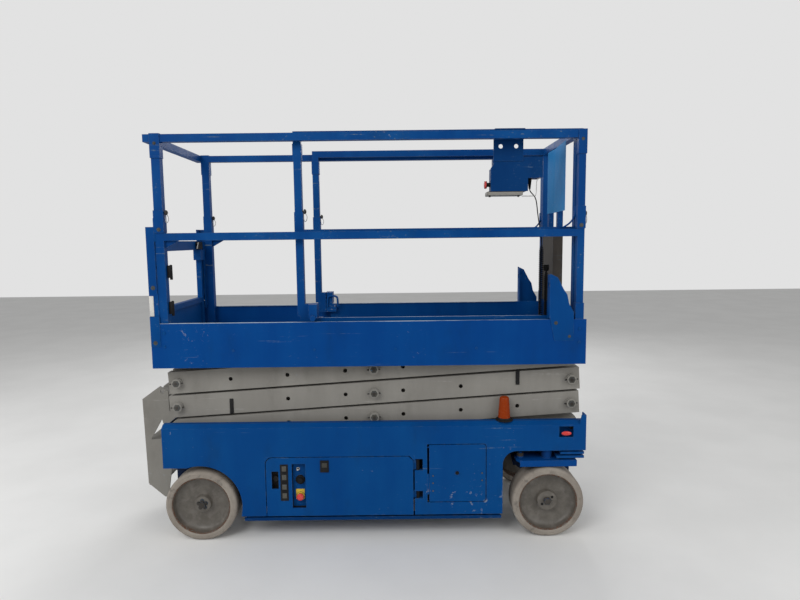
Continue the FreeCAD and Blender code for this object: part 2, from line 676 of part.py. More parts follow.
def round_edges(shape, spots, radius):
    """Round the edges that run along Y through the given (x, z) spots."""
    chosen = []
    for edge in shape.Edges:
        first = edge.firstVertex().Point
        last = edge.lastVertex().Point
        for x, z in spots:
            here = abs(first.x - x) < 0.01 and abs(first.z - z) < 0.01
            along = abs(last.x - x) < 0.01 and abs(last.z - z) < 0.01
            if here and along:
                chosen.append(edge)
    return shape.makeFillet(radius, chosen)


# Openings in the near tray panel: x range, z range
CONTROL_RECESS = ((-337.0, -265.0), (173.0, 417.0))
SOCKET_RECESS = ((-445.0, -408.0), (280.0, 377.0))
RECESS_WALL = 4.0
RECESS_DEPTH = 22.0


def tray_panel(side):
    """Swing-out panel with its floor and hinge straps."""
    outline = [
        (TRAY_X[0], BELLY_Z),
        (TRAY_X[1], BELLY_Z),
        (TRAY_X[1], TRAY_TOP_Z - TRAY_CHAMFER),
        (TRAY_X[1] - TRAY_CHAMFER, TRAY_TOP_Z),
        (TRAY_X[0], TRAY_TOP_Z),
    ]
    skin = plate_xz(outline, (SKIRT_INNER_OUT, SKIRT_OUT))
    skin = round_edges(skin, [(TRAY_X[0], TRAY_TOP_Z)], TRAY_CORNER)
    floor_z = (TRAY_FLOOR_Z, TRAY_FLOOR_Z + SHEET)
    floor = block(TRAY_FLOOR_X, (TRAY_INNER_OUT, SKIRT_INNER_OUT), floor_z)
    pieces = [skin, floor]
    bores = []
    for low, high in HINGE_SLOTS:
        strap_z = (low + SLIDE_GAP, high - SLIDE_GAP)
        strap_x = (TRAY_X[1] - TRAY_CORNER, TRAY_HINGE_X)
        strap_y = (TRAY_HINGE_OUT - TRAY_EAR_RADIUS, SKIRT_INNER_OUT)
        inner_strap = block(strap_x, (strap_y[0], TRAY_HINGE_OUT), strap_z)
        seat = block((strap_x[0], TRAY_X[1]), strap_y, strap_z)
        barrel = rod_z(TRAY_HINGE_X, TRAY_HINGE_OUT, strap_z, TRAY_EAR_RADIUS)
        pieces += [inner_strap, seat, barrel]
        bores.append(rod_z(TRAY_HINGE_X, TRAY_HINGE_OUT, (low, high), TRAY_PIN_RADIUS + RUN_GAP))
    shape = cut(fused(pieces), bores)
    if side == NEAR:
        through = (SKIRT_INNER_OUT - 1.0, SKIRT_OUT + 1.0)
        windows = [block(x, through, z) for x, z in (CONTROL_RECESS, SOCKET_RECESS)]
        shape = cut(shape, windows)
    return on_side(shape, side)


def recess_pan(x, z):
    """Shallow pan behind a window of the panel, open to the outside."""
    back = SKIRT_INNER_OUT - RECESS_DEPTH
    outer_x = (x[0] - RECESS_WALL, x[1] + RECESS_WALL)
    outer_z = (z[0] - RECESS_WALL, z[1] + RECESS_WALL)
    shell = block(outer_x, (back - RECESS_WALL, SKIRT_INNER_OUT), outer_z)
    return cut(shell, [block(x, (back, SKIRT_INNER_OUT + 1.0), z)])


def ground_controls():
    """Key switch, stop button, socket, blank strip and hour meter on the near panel."""
    back = SKIRT_INNER_OUT - RECESS_DEPTH
    control_pan = recess_pan(CONTROL_RECESS[0], CONTROL_RECESS[1])
    key = rod_y(-295.0, (back, back + 18.0), 321.0, 14.0)
    toggle = rod_y(-308.0, (back, back + 14.0), 380.0, 6.0)
    stop_base = rod_y(-298.0, (back, back + 6.0), 229.0, 24.0)
    stop_cap = rod_y(-298.0, (back + 6.0, back + 22.0), 229.0, 17.0)
    controls = fused([control_pan, key, toggle, stop_base, stop_cap])
    socket_pan = recess_pan(SOCKET_RECESS[0], SOCKET_RECESS[1])
    plug_face = rod_y(-426.5, (back, back + 12.0), 330.0, 15.0)
    strip = block((-398.0, -357.0), (SKIRT_OUT, SKIRT_OUT + 1.5), (216.0, 415.0))
    meter = block((-185.0, -140.0), (SKIRT_OUT, SKIRT_OUT + 3.0), (371.0, 435.0))
    pieces = [controls, fused([socket_pan, plug_face]), strip, meter]
    return [on_side(piece, NEAR) for piece in pieces]


TRAY_LOADS = (
    # x low, x high, top z of the blocks on the near tray
    (-425.0, -150.0, 400.0),
    (-120.0, 105.0, 330.0),
)
LOAD_OUT = (190.0, 360.0)


def power_module():
    """Oil tank, charger and pump motor on the near tray floor."""
    base_z = TRAY_FLOOR_Z + SHEET + SEAT_GAP
    pieces = [block((low, high), LOAD_OUT, (base_z, top)) for low, high, top in TRAY_LOADS]
    middle = (LOAD_OUT[0] + LOAD_OUT[1]) / 2.0
    motor = rod_x((130.0, 290.0), middle, base_z + 70.0, 55.0)
    saddle = block((150.0, 270.0), (middle - 30.0, middle + 30.0), (base_z, base_z + 60.0))
    pieces.append(fused([motor, saddle]))
    return [on_side(piece, NEAR) for piece in pieces]


BATTERY_COUNT = 4
BATTERY_GAP = 4.0
BATTERY_TOP_Z = 395.0


def batteries():
    base_z = TRAY_FLOOR_Z + SHEET + SEAT_GAP
    start = TRAY_LOADS[0][0]
    pitch = (TRAY_FLOOR_X[1] - BATTERY_GAP - start) / BATTERY_COUNT
    pieces = []
    for index in range(BATTERY_COUNT):
        low = start + index * pitch
        x = (low, low + pitch - BATTERY_GAP)
        case = block(x, LOAD_OUT, (base_z, BATTERY_TOP_Z))
        middle = (LOAD_OUT[0] + LOAD_OUT[1]) / 2.0
        posts = []
        for out in (LOAD_OUT[0] + 25.0, LOAD_OUT[1] - 25.0):
            posts.append(rod_z(low + pitch / 2.0, out, (BATTERY_TOP_Z, BATTERY_TOP_Z + 14.0), 9.0))
        caps = block(
            (low + 30.0, low + pitch - 34.0), (middle - 20.0, middle + 20.0), (BATTERY_TOP_Z, BATTERY_TOP_Z + 10.0)
        )
        pieces.append(fused([case, caps] + posts))
    return pieces


def service_door():
    outer = SKIRT_OUT
    skin = block(DOOR_X, (outer - DOOR_THICK, outer), DOOR_Z)
    corners = [(DOOR_X[1], DOOR_Z[0]), (DOOR_X[1], DOOR_Z[1])]
    skin = round_edges(skin, corners, DOOR_CORNER)
    lock = rod_y(540.0, (outer - DOOR_THICK, outer + 3.0), 356.0, 12.0)
    z = (DOOR_HINGE_Z[1] + SLIDE_GAP, DOOR_HINGE_Z[2] - SLIDE_GAP)
    leaf = block((DOOR_HINGE_X, DOOR_X[0] + 1.0), (outer - DOOR_THICK, DOOR_HINGE_OUT), z)
    barrel = rod_z(DOOR_HINGE_X, DOOR_HINGE_OUT, z, DOOR_KNUCKLE_RADIUS)
    bore = rod_z(DOOR_HINGE_X, DOOR_HINGE_OUT, z, DOOR_PIN_RADIUS + RUN_GAP)
    return on_side(cut(fused([skin, lock, leaf, barrel]), [bore]), NEAR)


def pothole_guard(side):
    """Hinged strip under the skirt, with ears beside each bracket."""
    flat = block(GUARD_X, GUARD_OUT, (GUARD_Z[0], GUARD_Z[0] + GUARD_THICK))
    lip = block(GUARD_X, (GUARD_OUT[1] - GUARD_THICK, GUARD_OUT[1]), GUARD_Z)
    pieces = [flat, lip]
    bores = []
    for x in GUARD_STATIONS:
        for ear_side in (-1.0, 1.0):
            middle = x + ear_side * 2.0 * SHEET
            ear_x = (middle - 3.0, middle + 3.0)
            ear_y = (GUARD_HINGE_OUT - GUARD_EAR_RADIUS, GUARD_OUT[1] - GUARD_THICK)
            ear_z = (GUARD_Z[0] + GUARD_THICK, GUARD_HINGE_Z)
            pieces.append(block(ear_x, ear_y, ear_z))
            pieces.append(rod_x(ear_x, GUARD_HINGE_OUT, GUARD_HINGE_Z, GUARD_EAR_RADIUS - 1.0))
        span = (x - 3.0 * SHEET, x + 3.0 * SHEET)
        bores.append(rod_x(span, GUARD_HINGE_OUT, GUARD_HINGE_Z, GUARD_PIN_RADIUS + RUN_GAP))
    return on_side(cut(fused(pieces), bores), side)


def place_arm(shape, level, slope):
    """Turn a piece drawn about an arm's middle and move it to its level."""
    placed = shape.copy()
    placed.rotate(Vector(0, 0, 0), Vector(0, -1, 0), slope * ARM_REST_ANGLE)
    middle_z = ARM_FIRST_Z + (level - 0.5) * ARM_PITCH
    placed.translate(Vector(ARM_MIDDLE_X, 0, middle_z))
    return placed


def arm_tube(outs, round_low, round_high, drilled):
    """One hollow arm drawn along X about its middle, with bearing blocks at its pins."""
    half = ARM_LENGTH / 2.0
    depth = ARM_DEPTH / 2.0
    low = -half if round_low else -half - ARM_END
    high = half if round_high else half + ARM_END
    body = [block((low, high), outs, (-depth, depth))]
    for wanted, x in ((round_low, -half), (round_high, half)):
        if wanted:
            body.append(rod_y(x, outs, 0.0, ARM_ROUND_END))
    shape = fused(body) if len(body) > 1 else body[0]
    inner_y = (outs[0] + ARM_WALL, outs[1] - ARM_WALL)
    inner_z = (-depth + ARM_WALL, depth - ARM_WALL)
    block_half = PIN_COLLAR_RADIUS + ARM_WALL
    stops = []
    stops.append((low - 1.0, -half - block_half))
    stops.append((-half + block_half, -block_half))
    stops.append((block_half, half - block_half))
    stops.append((half + block_half, high + 1.0))
    pockets = [block(stop, inner_y, inner_z) for stop in stops if stop[1] > stop[0]]
    tools = pockets
    if drilled:
        skin = (outs[1] - ARM_WALL - 1.0, outs[1] + 1.0)
        for station in HOLE_STATIONS:
            for x in (-station, station):
                tools.append(rod_y(x, skin, 0.0, HOLE_RADIUS))
    return cut(shape, tools)


def pin_bores(outs, stations):
    half = ARM_LENGTH / 2.0
    through = (outs[0] - 1.0, outs[1] + 1.0)
    return [rod_y(k * half, through, 0.0, PIN_RADIUS + RUN_GAP) for k in stations]


def outer_arm(level):
    """A pair of outer arms. The top pair carries the pins of the upper slider pads."""
    top = level == LEVELS
    arm = arm_tube(OUTER_ARM_OUT, level == 1, top, True)
    stations = (-1, 0) if top else (-1, 0, 1)
    arm = cut(arm, pin_bores(OUTER_ARM_OUT, stations))
    if top:
        stub_y = (OUTER_ARM_OUT[1] - ARM_WALL, TRACK_OUT - SLIDE_GAP)
        arm = fused([arm, rod_y(ARM_LENGTH / 2.0, stub_y, 0.0, PIN_RADIUS)])
    return both_sides(place_arm(arm, level, 1.0))


def pin_stub(x, collar_out):
    """Pin end that runs through the outer arm and ends in a keeper collar."""
    pin = rod_y(x, (INNER_ARM_OUT[1] - ARM_WALL, collar_out + PIN_COLLAR_LENGTH + PIN_TIP), 0.0, PIN_RADIUS)
    collar_y = (collar_out + SLIDE_GAP, collar_out + SLIDE_GAP + PIN_COLLAR_LENGTH)
    return fused([pin, rod_y(x, collar_y, 0.0, PIN_COLLAR_RADIUS)])


def cylinder_lugs(station, offset, solid_pin):
    """Two plates from an end shaft to the cylinder's pin, in the arm's own frame."""
    half = ARM_LENGTH / 2.0
    end = math.copysign(half, station)
    middle_x = (station + end) / 2.0
    middle_z = offset / 2.0
    length = math.hypot(end - station, offset)
    angle = math.degrees(math.atan2(offset, abs(end - station)))
    if station > 0:
        angle = -angle
    pieces = []
    for out in (LUG_OUT, (-LUG_OUT[1], -LUG_OUT[0])):
        bar = block((-length / 2.0, length / 2.0), out, (-LUG_HALF_DEPTH, LUG_HALF_DEPTH))
        bar.rotate(Vector(0, 0, 0), Vector(0, -1, 0), angle)
        bar.translate(Vector(middle_x, 0, middle_z))
        pieces += [bar, rod_y(end, out, 0.0, LUG_HALF_DEPTH), rod_y(station, out, offset, LUG_HALF_DEPTH)]
        head = (out[0] - PIN_TIP, out[0]) if out[0] < 0 else (out[1], out[1] + PIN_TIP)
        pieces.append(rod_y(station, head, offset, CYLINDER_PIN_RADIUS + PIN_TIP))
    if solid_pin:
        pieces.append(rod_y(station, (-LUG_OUT[1], LUG_OUT[1]), offset, CYLINDER_PIN_RADIUS))
    return pieces


def inner_arm(level):
    """A pair of inner arms joined by the shafts on their end pins."""
    half = ARM_LENGTH / 2.0
    arm = arm_tube(INNER_ARM_OUT, level == LEVELS, level == 1, False)
    centre = rod_y(0.0, (INNER_ARM_OUT[0], INNER_ARM_OUT[1]), 0.0, PIN_RADIUS)
    side = [arm, centre, pin_stub(0.0, OUTER_ARM_OUT[1])]
    if level < LEVELS:
        side.append(pin_stub(-half, OUTER_ARM_OUT[1]))
    else:
        side.append(pin_stub(-half, OUTER_ARM_OUT[0] + SHEET))
    if level > 1:
        side.append(pin_stub(half, OUTER_ARM_OUT[1]))
    else:
        side.append(rod_y(half, (INNER_ARM_OUT[1] - ARM_WALL, TRACK_OUT - SLIDE_GAP), 0.0, PIN_RADIUS))
    pieces = both_sides(fused(side))
    for x in (-half, half):
        shaft_y = (-INNER_ARM_OUT[0], INNER_ARM_OUT[0])
        pieces.append(rod_y(x, shaft_y, 0.0, CROSS_SHAFT_RADIUS))
    if level == 1:
        pieces += cylinder_lugs(-CYLINDER_STATION, -CYLINDER_OFFSET, True)
    if level == LEVELS:
        pieces += cylinder_lugs(CYLINDER_STATION, CYLINDER_OFFSET, False)
    return [place_arm(fused(pieces), level, -1.0)]


def slider_pads(x, z):
    """Flat bearing pads on the sliding ends, one in each track."""
    pad_x = (x - PAD_HALF_LENGTH, x + PAD_HALF_LENGTH)
    pad_y = (TRACK_OUT - SLIDE_GAP - PAD_THICK, TRACK_OUT - SLIDE_GAP)
    pad = block(pad_x, pad_y, (z - PAD_HALF_HEIGHT, z + PAD_HALF_HEIGHT))
    bore = rod_y(x, (pad_y[0] - 1.0, pad_y[1] + 1.0), z, PIN_RADIUS + RUN_GAP)
    return both_sides(cut(pad, [bore]))


def cylinder_pins():
    """Pin centres of the lift cylinder at rest, as (x, z) pairs."""
    angle = math.radians(ARM_REST_ANGLE)
    along = (math.cos(angle), -math.sin(angle))
    up = (math.sin(angle), math.cos(angle))
    ends = []
    anchors = ((1, -CYLINDER_STATION, -CYLINDER_OFFSET), (LEVELS, CYLINDER_STATION, CYLINDER_OFFSET))
    for level, station, offset in anchors:
        middle_z = ARM_FIRST_Z + (level - 0.5) * ARM_PITCH
        x = ARM_MIDDLE_X + station * along[0] + offset * up[0]
        z = middle_z + station * along[1] + offset * up[1]
        ends.append((x, z))
    return ends


def place_cylinder(shape):
    (base_x, base_z), (eye_x, eye_z) = cylinder_pins()
    angle = math.degrees(math.atan2(eye_z - base_z, eye_x - base_x))
    shape.rotate(Vector(0, 0, 0), Vector(0, -1, 0), angle)
    shape.translate(Vector(base_x, 0, base_z))
    return shape


GLAND_LENGTH = 45.0
GLAND_RADIUS = 47.0
BARREL_END = 70.0
ROD_INNER_END = 400.0


def lift_barrel():
    width = (-EYE_HALF_WIDTH, EYE_HALF_WIDTH)
    tube = rod_x((EYE_RADIUS / 2.0, BARREL_LENGTH), 0.0, 0.0, BARREL_RADIUS)
    gland = rod_x((BARREL_LENGTH - GLAND_LENGTH, BARREL_LENGTH), 0.0, 0.0, GLAND_RADIUS)
    port = rod_z(BARREL_END + 30.0, 0.0, (BARREL_RADIUS - 4.0, BARREL_RADIUS + 22.0), 11.0)
    body = fused([tube, gland, port, rod_y(0.0, width, 0.0, EYE_RADIUS)])
    bore = rod_x((BARREL_END, BARREL_LENGTH - GLAND_LENGTH), 0.0, 0.0, BARREL_BORE)
    rod_way = rod_x((BARREL_END, BARREL_LENGTH + 1.0), 0.0, 0.0, ROD_RADIUS + RUN_GAP)
    pin_way = rod_y(0.0, (-EYE_RADIUS * 2.0, EYE_RADIUS * 2.0), 0.0, CYLINDER_PIN_RADIUS + RUN_GAP)
    return place_cylinder(cut(body, [bore, rod_way, pin_way]))


def lift_rod():
    (base_x, base_z), (eye_x, eye_z) = cylinder_pins()
    reach = math.hypot(eye_x - base_x, eye_z - base_z)
    stem = rod_x((ROD_INNER_END, reach), 0.0, 0.0, ROD_RADIUS)
    eye = rod_y(reach, (-EYE_HALF_WIDTH, EYE_HALF_WIDTH), 0.0, EYE_RADIUS)
    pin_half = LUG_OUT[0] - SLIDE_GAP
    pin = rod_y(reach, (-pin_half, pin_half), 0.0, CYLINDER_PIN_RADIUS)
    return place_cylinder(fused([stem, eye, pin]))


UNDER_DECK_Z = DECK_TOP_Z - DECK_THICK
DECK_RIBS = (-900.0, -450.0, 0.0, 450.0, 900.0)
RIB_HALF = 20.0
RIB_DROP = 34.0
ARM_TOP_Z = ARM_FIRST_Z + LEVELS * ARM_PITCH


def platform_deck():
    plate = block(DECK_X, (-DECK_OUT, DECK_OUT), (UNDER_DECK_Z, DECK_TOP_Z))
    reach = INNER_ARM_OUT[0] - 8.0
    pieces = [plate]
    for x in DECK_RIBS:
        rib_x = (x - RIB_HALF, x + RIB_HALF)
        pieces.append(block(rib_x, (-reach, reach), (UNDER_DECK_Z - RIB_DROP, UNDER_DECK_Z)))
    return fused(pieces)


def platform_runners():
    """Upper slider tracks and the pivot plates of the top inner arms."""
    pad_z = (ARM_TOP_Z - PAD_HALF_HEIGHT - SLIDE_GAP, ARM_TOP_Z + PAD_HALF_HEIGHT + SLIDE_GAP)
    track = slider_track(pad_z[0], pad_z[1], (pad_z[0] - SHEET, UNDER_DECK_Z))
    plate_out = OUTER_ARM_OUT[0] + SLIDE_GAP / 2.0
    plates = pivot_bracket(ARM_TOP_Z, UNDER_DECK_Z, (plate_out,))
    through = (plate_out - 1.0, plate_out + SHEET + 1.0)
    pivot = cut(plates[0], [rod_y(ARM_PIVOT_X, through, ARM_TOP_Z, PIN_RADIUS + RUN_GAP)])
    return both_sides(track) + both_sides(pivot)


REAR_RETURN_OUT = 335.0


def toe_boards():
    """Side boards, their returns at the entry and the end plates below the deck."""
    inner = TOE_OUT - TOE_THICK
    side = block(DECK_X, (inner, TOE_OUT), TOE_Z)
    rear_x = (DECK_X[0], DECK_X[0] + TOE_THICK)
    rear_return = block(rear_x, (REAR_RETURN_OUT, inner), (DECK_TOP_Z, TOE_Z[1]))
    pieces = both_sides(fused([side, rear_return]))
    pieces.append(block(rear_x, (-inner, inner), (TOE_Z[0], UNDER_DECK_Z)))
    front_x = (DECK_X[1] - TOE_THICK, DECK_X[1])
    front_low_z = ARM_TOP_Z + 0.7 * ARM_ROUND_END
    pieces.append(block(front_x, (-inner, inner), (front_low_z, UNDER_DECK_Z)))
    return fused(pieces)


def square_tube_x(x, outs, top):
    return block(x, outs, (top - RAIL, top))


def sleeve(post_x, outs, z):
    """Thicker length of a post, flush on the side where the extension passes."""
    wall = SLEEVE_WALL
    return block((post_x[0] - wall, post_x[1] + wall), (outs[0], outs[1] + 1.2 * wall), z)


TOP_SLEEVE_Z = (2013.0, RAIL_TOP_Z + 4.0)
FOOT_SLEEVE_TOP_Z = 1258.0
MID_PLATE_Z = (1560.0, 1600.0)
MID_PLATE_THICK = 8.0


def main_rail(side):
    """Fold-down guard rail of the main platform, one side."""
    outs = (RAIL_OUT - RAIL, RAIL_OUT)
    top = square_tube_x((REAR_BAR_X[0], FRONT_POST_X[1]), outs, RAIL_TOP_Z)
    middle = square_tube_x((REAR_POST_X[1], FRONT_POST_X[0]), outs, MID_RAIL_TOP_Z)
    rear_post = block(REAR_POST_X, outs, (DECK_TOP_Z, RAIL_TOP_Z - RAIL))
    front_post = block(FRONT_POST_X, outs, (DECK_TOP_Z, RAIL_TOP_Z - RAIL))
    pieces = [top, middle, rear_post, front_post]
    for post_x in (REAR_POST_X, FRONT_POST_X):
        pieces.append(sleeve(post_x, outs, FOLD_SLEEVE_Z))
        pieces.append(sleeve(post_x, outs, TOP_SLEEVE_Z))
    pieces.append(sleeve(FRONT_POST_X, outs, (TOE_Z[1], FOOT_SLEEVE_TOP_Z)))
    low, high = MID_PLATE_Z
    corner = REAR_POST_X[1] - 1.0
    plate_out = RAIL_OUT - RAIL / 2.0
    gusset = [(corner, low), (corner, high), (corner + 71.0, high)]
    pieces.append(plate_xz(gusset, (plate_out - MID_PLATE_THICK / 2.0, plate_out + MID_PLATE_THICK / 2.0)))
    return on_side(fused(pieces), side)


ENTRY_STAY_Z = (1250.0, 1560.0)


def entry_frame():
    """Rear cross bar over the entry, with the folded plates that hold and stop the gate."""
    inner = RAIL_OUT - RAIL
    bar = block(REAR_BAR_X, (-inner, inner), (RAIL_TOP_Z - RAIL, RAIL_TOP_Z))
    plate_y = (RAIL_OUT + SEAT_GAP, RAIL_OUT + 4.0)
    outline = [
        (ENTRY_PLATE_X[0], ENTRY_PLATE_Z[0]),
        (ENTRY_PLATE_X[0], ENTRY_PLATE_Z[1]),
        (ENTRY_PLATE_X[1], ENTRY_PLATE_Z[1]),
        (ENTRY_PLATE_X[1], ENTRY_NECK_Z),
        (ENTRY_PLATE_X[0] + 22.0, ENTRY_NECK_Z - 60.0),
        (ENTRY_PLATE_X[0] + 22.0, ENTRY_PLATE_Z[0]),
    ]
    jambs = []
    for side in (NEAR, FAR):
        side_plate = plate_xz(outline, plate_y)
        jamb_z = (TOE_Z[1] + SEAT_GAP, ENTRY_PLATE_Z[1])
        jamb = block((DECK_X[0], DECK_X[0] + 4.0), (REAR_RETURN_OUT, plate_y[1]), jamb_z)
        pieces = [side_plate, jamb]
        for low in ENTRY_STAY_Z:
            stay_x = (DECK_X[0] + 4.0, REAR_POST_X[0] - SEAT_GAP)
            pieces.append(block(stay_x, (RAIL_OUT - 24.0, RAIL_OUT - 14.0), (low, low + 40.0)))
        if side == NEAR:
            pieces += gate_ears()
        jambs.append(on_side(fused(pieces), side))
    return [bar] + jambs


GATE_HINGES = ((1211.0, 1277.0), (1400.0, 1470.0))
GATE_EAR = 12.0
GATE_EAR_RADIUS = 8.0
GATE_PIN_RADIUS = 5.0


def gate_ears():
    """Fixed ears and pin above and below each gate hinge barrel."""
    pieces = []
    for low, high in GATE_HINGES:
        for z in ((low, low + GATE_EAR), (high - GATE_EAR, high)):
            root_y = (GATE_HINGE_OUT - GATE_EAR_RADIUS, REAR_RETURN_OUT + 10.0)
            pieces.append(block((DECK_X[0] + 4.0, GATE_X - GATE_EAR_RADIUS), root_y, z))
            arm_y = (GATE_HINGE_OUT - GATE_EAR_RADIUS, GATE_HINGE_OUT + GATE_EAR_RADIUS)
            pieces.append(block((DECK_X[0] + 4.0, GATE_X), arm_y, z))
            pieces.append(rod_z(GATE_X, GATE_HINGE_OUT, z, GATE_EAR_RADIUS))
        pieces.append(rod_z(GATE_X, GATE_HINGE_OUT, (low, high), GATE_PIN_RADIUS))
    return pieces


def gate():
    """Inward-swinging entry gate: two stiles, a top bar, a kick plate and hinge barrels."""
    half = GATE_TUBE / 2.0
    x = (GATE_X - half, GATE_X + half)
    near_y = -GATE_HINGE_OUT + GATE_EAR_RADIUS + 2.0
    far_y = GATE_LATCH_OUT
    pieces = [
        block(x, (near_y, near_y + GATE_TUBE), GATE_Z),
        block(x, (far_y - GATE_TUBE, far_y), GATE_Z),
        block(x, (near_y, far_y), (GATE_Z[1] - GATE_TOP_BAR, GATE_Z[1])),
        block((GATE_X - 2.0, GATE_X + 2.0), (near_y, far_y), (GATE_Z[0], GATE_KICK_Z)),
        block(x, (near_y, far_y), (GATE_KICK_Z, GATE_KICK_Z + GATE_TUBE)),
        block((GATE_X - half, GATE_X + 2.0 * half), (far_y - 70.0, far_y + 6.0), (1480.0, 1544.0)),
    ]
    bores = []
    for low, high in GATE_HINGES:
        barrel_z = (low + GATE_EAR + SLIDE_GAP, high - GATE_EAR - SLIDE_GAP)
        pieces.append(rod_z(GATE_X, -GATE_HINGE_OUT, barrel_z, GATE_EAR_RADIUS))
        link_y = (-GATE_HINGE_OUT, near_y + 1.0)
        pieces.append(block((GATE_X - 5.0, GATE_X + 5.0), link_y, barrel_z))
        bores.append(rod_z(GATE_X, -GATE_HINGE_OUT, (low, high), GATE_PIN_RADIUS + RUN_GAP))
    return cut(fused(pieces), bores)


def anchor_bracket():
    """Side plate and inward flange with the round lanyard anchor hole, far side."""
    outline = [
        (1016.0, 1411.0),
        (1055.0, 1392.0),
        (1088.0, 1329.0),
        (1106.0, 1303.0),
        (1116.0, 1255.0),
        (1141.0, 1211.0),
        (1141.0, 1063.0),
        (1043.0, 1064.0),
        (1016.0, 1200.0),
    ]
    side = plate_xz(outline, ANCHOR_OUT)
    inner = RAIL_OUT - RAIL
    flange_x = (1016.0, 1016.0 + ANCHOR_THICK)
    flange = block(flange_x, (inner, ANCHOR_OUT[0] + 1.0), (TOE_Z[1] + 5.0, 1404.0))
    middle = (inner + TOE_OUT) / 2.0
    hole = rod_x((1010.0, 1030.0), middle, ANCHOR_BORE_Z, ANCHOR_BORE)
    return cut(fused([side, flange]), [hole])


def extension_tray():
    """Roll-out deck with its side boards, front board and rollers."""
    out = EXT_TOE_OUT
    inner = out - TOE_THICK
    deck_z = (EXT_DECK_TOP_Z - DECK_THICK, EXT_DECK_TOP_Z)
    deck = block(EXT_X, (-inner, inner), deck_z)
    side = block(EXT_X, (inner, out), (deck_z[0], EXT_TOE_TOP_Z))
    front_x = (EXT_X[1], EXT_X[1] + TOE_THICK)
    front = block(front_x, (-out, out), (deck_z[0], EXT_TOE_TOP_Z))
    pieces = [deck, front] + both_sides(side)
    roller_z = (DECK_TOP_Z + SEAT_GAP + deck_z[0]) / 2.0
    radius = roller_z - DECK_TOP_Z - SEAT_GAP
    for out_y in (-250.0, 250.0):
        pieces.append(rod_y(EXT_X[0] + 20.0, (out_y - 25.0, out_y + 25.0), roller_z, radius))
    return fused(pieces)


EXT_TOP_SLEEVE_Z = (2004.0, 2083.0)
EXT_FOOT_Z = (EXT_DECK_TOP_Z + 90.0, 1263.0)
GUIDE_X = (-225.0, -183.0)
GUIDE_TOP_Z = 1264.0
ROLLER_RADIUS = 14.0


def extension_rail(side):
    outer = EXT_RAIL_OUT
    outs = (outer - RAIL, outer)
    x = (EXT_POST_X[0], EXT_FRONT_POST_X[1])
    top = square_tube_x(x, outs, EXT_TOP_Z)
    middle = square_tube_x((EXT_POST_X[1], EXT_FRONT_POST_X[0]), outs, EXT_MID_TOP_Z)
    base_z = EXT_DECK_TOP_Z + 150.0
    rear = block(EXT_POST_X, outs, (base_z, EXT_TOP_Z - RAIL))
    front = block(EXT_FRONT_POST_X, outs, (EXT_DECK_TOP_Z, EXT_TOP_Z - RAIL))
    pieces = [top, middle, rear, front]
    wall = SLEEVE_WALL
    for z in ((FOLD_SLEEVE_Z[0] - 12.0, FOLD_SLEEVE_Z[1] - 14.0), EXT_TOP_SLEEVE_Z):
        sleeve_x = (EXT_POST_X[0] - wall, EXT_POST_X[1] + wall)
        pieces.append(block(sleeve_x, (outs[0] - wall, outs[1]), z))
    foot_x = (EXT_POST_X[0] + 14.0, EXT_POST_X[1] + 28.0)
    pieces.append(block(foot_x, (outs[0] - wall, outs[1]), EXT_FOOT_Z))
    strap_x = (foot_x[0], EXT_X[0] + 40.0)
    pieces.append(block(strap_x, (outs[0], outs[1]), (EXT_FOOT_Z[0], EXT_TOE_TOP_Z)))
    reach = (outs[1] - 1.0, TOE_OUT - TOE_THICK - 5.0)
    pieces.append(block(GUIDE_X, reach, (EXT_TOE_TOP_Z + 2.0, GUIDE_TOP_Z)))
    pieces.append(block((strap_x[1] - 60.0, GUIDE_X[1]), outs, (EXT_TOE_TOP_Z - 10.0, GUIDE_TOP_Z)))
    roller_z = TOE_Z[1] + SEAT_GAP + ROLLER_RADIUS
    roller_y = (reach[1] - 1.0, TOE_OUT + 1.0)
    pieces.append(rod_y(sum(GUIDE_X) / 2.0, roller_y, roller_z + 4.0, ROLLER_RADIUS))
    return on_side(fused(pieces), side)


FRONT_UPRIGHTS = (-21.0, 175.0)
UPRIGHT_HALF = 15.0


def front_rail():
    inner = EXT_RAIL_OUT - RAIL
    y = (-inner, inner)
    pieces = [
        block(EXT_FRONT_POST_X, y, (EXT_TOP_Z - RAIL, EXT_TOP_Z)),
        block(EXT_FRONT_POST_X, y, (EXT_MID_TOP_Z - RAIL, EXT_MID_TOP_Z)),
    ]
    for middle in FRONT_UPRIGHTS:
        upright_y = (middle - UPRIGHT_HALF, middle + UPRIGHT_HALF)
        upright_x = (EXT_FRONT_POST_X[0], EXT_FRONT_POST_X[0] + 2.0 * UPRIGHT_HALF)
        pieces.append(block(upright_x, upright_y, (EXT_DECK_TOP_Z, EXT_TOP_Z - RAIL / 2.0)))
    return fused(pieces)


def front_panel():
    """Sheet with one shallow upright fold, hung on the front rail's uprights."""
    seat = EXT_FRONT_POST_X[0] - SEAT_GAP
    near_x = seat - PANEL_FOLD
    outline = [
        (seat, PANEL_Y[1]),
        (seat, PANEL_FOLD_Y),
        (near_x, PANEL_Y[0]),
        (near_x - PANEL_THICK, PANEL_Y[0]),
        (seat - PANEL_THICK, PANEL_FOLD_Y),
        (seat - PANEL_THICK, PANEL_Y[1]),
    ]
    return plate_xy(outline, PANEL_Z)


BOX_HOOK_REACH = 10.0
BOX_HOOKS_Y = ((-120.0, -60.0), (15.0, 70.0))


